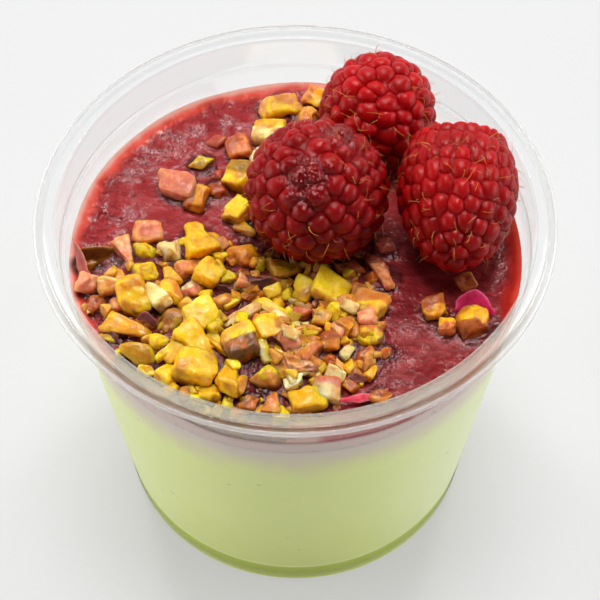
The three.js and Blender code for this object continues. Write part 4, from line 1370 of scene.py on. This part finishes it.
def outline_shares(radius, length, bluntness, spacing):
    """Rings at even steps along the outline, from the open end's edge to the tip."""
    radii = outline_radius(np.arange(OUTLINE_STEPS + 1) / OUTLINE_STEPS, bluntness) * radius
    lengths = np.concatenate([[0], np.cumsum(np.hypot(length / OUTLINE_STEPS, np.diff(radii)))])
    rows = round(lengths[-1] / (spacing * ROW_SPACING))
    wanted = [lengths[-1] * row / rows - 1e-9 for row in range(rows + 1)]
    return [int(np.argmax(lengths >= along)) / OUTLINE_STEPS for along in wanted]


def drupelet_tops(radius, length, bluntness, spacing, widths, seed):
    """Tops of the drupelets with, for each, the way across it and how narrow it is."""
    stream = random_stream(seed)

    def wander():
        return DRUPELET_JITTER * spacing * (2 * next(stream) - 1)

    tops, across, narrow = [], [], []
    for row, share in enumerate(outline_shares(radius, length, bluntness, spacing)):
        ring = float(outline_radius(share, bluntness)) * radius
        width = widths[0] + (widths[1] - widths[0]) * share
        count = max(1, round(2 * math.pi * ring / width))
        for k in range(count):
            angle = (k + 0.5 * (row % 2)) / count * 2 * math.pi + wander() / max(ring, 1)
            z = share * length + (wander() if 0 < share < 1 else 0)
            reach = float(outline_radius(min(max(z / length, 0), 1), bluntness)) * radius
            tops.append((reach * math.cos(angle), reach * math.sin(angle), z))
            across.append((-math.sin(angle), math.cos(angle), 0))
            narrow.append(spacing / width)
    return np.array(tops), np.array(across), narrow


def berry_path(radius, length, bluntness):
    """The outline from the bottom of the open end's hollow to the tip, in even steps."""
    hollow = [
        (POLE_RADIUS, HOLLOW_DEPTH + 3),
        (0.2 * radius, HOLLOW_DEPTH + 2.4),
        (0.34 * radius, HOLLOW_DEPTH - 1),
        (0.42 * radius, 0.9),
        (0.56 * radius, 0.1),
    ]
    shares = np.linspace(0, 1, OUTLINE_POINTS) ** 0.9
    outside = [(float(outline_radius(s, bluntness)) * radius, s * length) for s in shares]
    path = np.array([*hollow, *outside])
    path[-1, 0] = POLE_RADIUS
    lengths = np.concatenate([[0], np.cumsum(np.linalg.norm(np.diff(path, axis=0), axis=1))])
    even = np.linspace(0, lengths[-1], BERRY_ALONG)
    return np.stack([np.interp(even, lengths, path[:, k]) for k in (0, 1)], axis=1)


def make_raspberry(berry, material, paint_top, crease_shade_paint):
    name, middle, tip, radius, length, bluntness, spacing, widths, seed = berry
    turn, base = berry_placement(middle, tip, length)
    tops, across, narrow = drupelet_tops(radius, length, bluntness, spacing, widths, seed)
    path = berry_path(radius, length, bluntness)
    points = swung(path, BERRY_AROUND)
    slope = np.gradient(path, axis=0)
    slope /= np.linalg.norm(slope, axis=1)[:, None]
    normals = swung(np.stack([slope[:, 1], -slope[:, 0]], axis=1), BERRY_AROUND)

    random = np.random.default_rng(seed)
    sizes = random.uniform(0.88, 1.12, len(tops))
    shades = random.uniform(0.82, 1.18, len(tops))
    swell = DRUPELET_SWELL * spacing
    warp = np.stack([smooth_noise(points, 2.2, seed + k) for k in range(3)], axis=1)
    warped = points + DRUPELET_WARP * warp
    nearest = np.full(len(points), 90.0)
    second = np.full(len(points), 99.0)
    shade = np.ones(len(points))
    flatter = np.ones(len(points))
    for top, way, tightness, size, own_shade in zip(tops, across, narrow, sizes, shades):
        offset = warped - top
        aside = (tightness**2 - 1) * (offset @ way) ** 2
        distance = np.sqrt(np.maximum(np.sum(offset**2, axis=1) + aside, 0)) / size
        shade = np.where(distance < nearest, own_shade, shade)
        flatter = np.where(distance < nearest, 1 / tightness, flatter)
        second = np.minimum(second, np.maximum(nearest, distance))
        nearest = np.minimum(nearest, distance)
    dome = np.sqrt(np.maximum(0, 1 - (nearest / swell) ** 2)) * swell
    along = np.clip(points[:, 2] / length, 0, 1)
    apart = 0.75 + 0.25 * ease(0.1, 0.5, along)
    crease = np.exp(-(second - nearest) / CREASE_WIDTH) * apart
    flatter = flatter * apart
    sunk = (np.minimum(swell - dome, DEEPEST_CREASE * spacing) + DRUPELET_CREASE * crease) * flatter
    sunk = sunk + SKIN_RELIEF * layered_noise(points, 1.4, seed + 5, 2)
    sunk = sunk + STREAK_DEPTH * (1 - along) * smooth_noise(points * (1, 1, 0.12), 0.45, seed + 7)
    surface = points - normals * np.maximum(sunk, 0)[:, None]
    world = surface @ turn.T + base
    juicy = np.zeros(len(world))
    if name == "raspberry_front":
        for place, reach in JUICE_PLACES:
            away = np.linalg.norm(world - place, axis=1) / reach
            juicy = np.maximum(juicy, ease(1.2, 0.6, away + 0.35 * smooth_noise(world, 2, 151)))

    # Painted shade: the creases between drupelets are painted darker.
    paint = painted(plain(paint_top, len(points)), [(ease(0.3, 1.1, crease), crease_shade_paint)])
    # Painted light: the paint is lighter towards the top of each raspberry and darker towards its
    # underside.
    lift = np.clip((world[:, 2] - middle[2]) / radius, -1, 1)
    tone = shade * (1 + 0.32 * lift - 0.3 * juicy) + 0.2 * layered_noise(points, 5, seed + 9, 2)
    paint = paint * tone[:, None]
    paint[:, 3] = 1
    # The creases and underside are duller, and this also keeps the bloom's painted sheen off them.
    dull = np.maximum(ease(0.15, 0.9, crease), 0.36 * ease(0.3, -0.6, lift))
    colours = {"juicy": juicy, "dull": dull, "paint": paint}
    faces = [face[::-1] for face in grid_faces(BERRY_ALONG, BERRY_AROUND)]
    faces.append(tuple(range(BERRY_AROUND)))
    last = (BERRY_ALONG - 1) * BERRY_AROUND
    faces.append(tuple(last + k for k in reversed(range(BERRY_AROUND))))
    new_piece(f"{name}_fruit", world, faces, material, [name], colours)


def make_hairs(berry, material):
    """Fine bent hairs, rooted at seeded places on a raspberry's outline."""
    name, middle, tip, radius, length_of_berry, bluntness, _, _, seed = berry
    turn, base = berry_placement(middle, tip, length_of_berry)
    random = np.random.default_rng(seed)
    points, faces = [], []
    for _ in range(HAIR_COUNT):
        share, angle = random.uniform(0.03, 0.93), random.uniform(0, 2 * math.pi)
        ring = float(outline_radius(share, bluntness)) * radius
        around = np.array([math.cos(angle), math.sin(angle), 0])
        along = np.array([0, 0, 1])
        root = turn @ (around * ring + along * share * length_of_berry) + base
        out = turn @ (around + along * (share - WIDEST) * 1.6)
        out /= np.linalg.norm(out)
        aside = np.cross(out, random.normal(size=3))
        aside /= np.linalg.norm(aside)
        length = random.uniform(*HAIR_LENGTHS)
        lean = random.uniform(0.3, 1.2)
        bend = random.uniform(0.2, 0.7)
        start = root - out * HAIR_ROOT
        across = np.cross(out, aside)
        first = len(points)
        for step in range(HAIR_STEPS + 1):
            share = step / HAIR_STEPS
            lean_now = aside * lean * share + across * bend * share**2
            centre = start + (out * (1 - 0.25 * share) + lean_now) * share * length * 0.8
            thickness = HAIR_THICKNESS * (1 - 0.6 * share)
            for side in range(HAIR_AROUND):
                angle = 2 * math.pi * side / HAIR_AROUND
                spoke = across * math.cos(angle) + np.cross(out, across) * math.sin(angle)
                points.append(centre + spoke * thickness)
        faces += grid_faces(HAIR_STEPS + 1, HAIR_AROUND, first)
        faces.append((first, first + 2, first + 1))
        top = first + HAIR_STEPS * HAIR_AROUND
        faces.append((top, top + 1, top + 2))
    new_piece(f"{name}_hairs", points, faces, material)


# The floor, light and camera

def make_floor():
    corners = [(FLOOR_REACH * x, FLOOR_REACH * y, 0) for x, y in ((-1, -1), (1, -1), (1, 1), (-1, 1))]
    mesh = bpy.data.meshes.new("floor")
    mesh.from_pydata(corners, [], [(0, 1, 2, 3)])
    mesh.materials.append(floor_look())
    floor = bpy.data.objects.new("floor", mesh)
    bpy.context.scene.collection.objects.link(floor)
    floor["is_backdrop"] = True


def add_light(name, place, target, size, power):
    light = bpy.data.lights.new(name, "AREA")
    light.shape = "DISK"
    light.size = size
    light.energy = power
    lamp = bpy.data.objects.new(name, light)
    lamp.location = place
    way = Vector(target) - Vector(place)
    lamp.rotation_euler = way.to_track_quat("-Z", "Y").to_euler()
    bpy.context.scene.collection.objects.link(lamp)


def studio_world():
    """Pale walls all round, brightest behind, under a dim ceiling."""
    world = bpy.data.worlds.new("studio")
    world.use_nodes = True
    nodes, links = world.node_tree.nodes, world.node_tree.links
    way = nodes.new("ShaderNodeSeparateXYZ")
    links.new(nodes.new("ShaderNodeTexCoord").outputs["Generated"], way.inputs["Vector"])
    product = nodes.new("ShaderNodeMath")
    product.operation = "MULTIPLY"
    for socket, (axis, *span) in zip(product.inputs, WORLD_SPREADS):
        spread = map_range(nodes, *span)
        links.new(way.outputs[axis], spread.inputs["Value"])
        links.new(spread.outputs["Result"], socket)
    background = nodes["Background"]
    background.inputs["Color"].default_value = (0.97, 0.98, 1, 1)
    links.new(product.outputs["Value"], background.inputs["Strength"])
    return world


def make_light():
    bpy.context.scene.world = studio_world()
    for row in LIGHTS:
        add_light(*row)
    bpy.context.scene.view_settings.view_transform = "Standard"


def make_camera():
    data = bpy.data.cameras.new("camera")
    data.lens = CAMERA_LENS
    data.sensor_width = SENSOR_WIDTH
    data.clip_start = NEAREST_SEEN
    camera = bpy.data.objects.new("camera", data)
    camera.location = Vector(CAMERA_PLACE) * MM
    camera.rotation_euler = (math.radians(90 - CAMERA_PITCH), 0, 0)
    bpy.context.scene.collection.objects.link(camera)
    bpy.context.scene.camera = camera


make_camera()
make_light()
make_floor()
make_cup(clear_plastic())
make_panna_cotta(set_cream())
make_compote(compote_look())
nut_material = nut_look()
make_all_nuts(nut_material)
make_scraps(petal_look())
berry_material = berry_look()
hair_material = hair_look()
for raspberry in RASPBERRIES:
    top_paint, crease_shade = BERRY_PAINTS[raspberry[0]]
    make_raspberry(raspberry, berry_material, top_paint, crease_shade)
    make_hairs(raspberry, hair_material)

visual_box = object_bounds()
boxes = {"cad": CAD_BOX, "visual": visual_box}
{name: [list(corner) for corner in box] for name, box in boxes.items()}
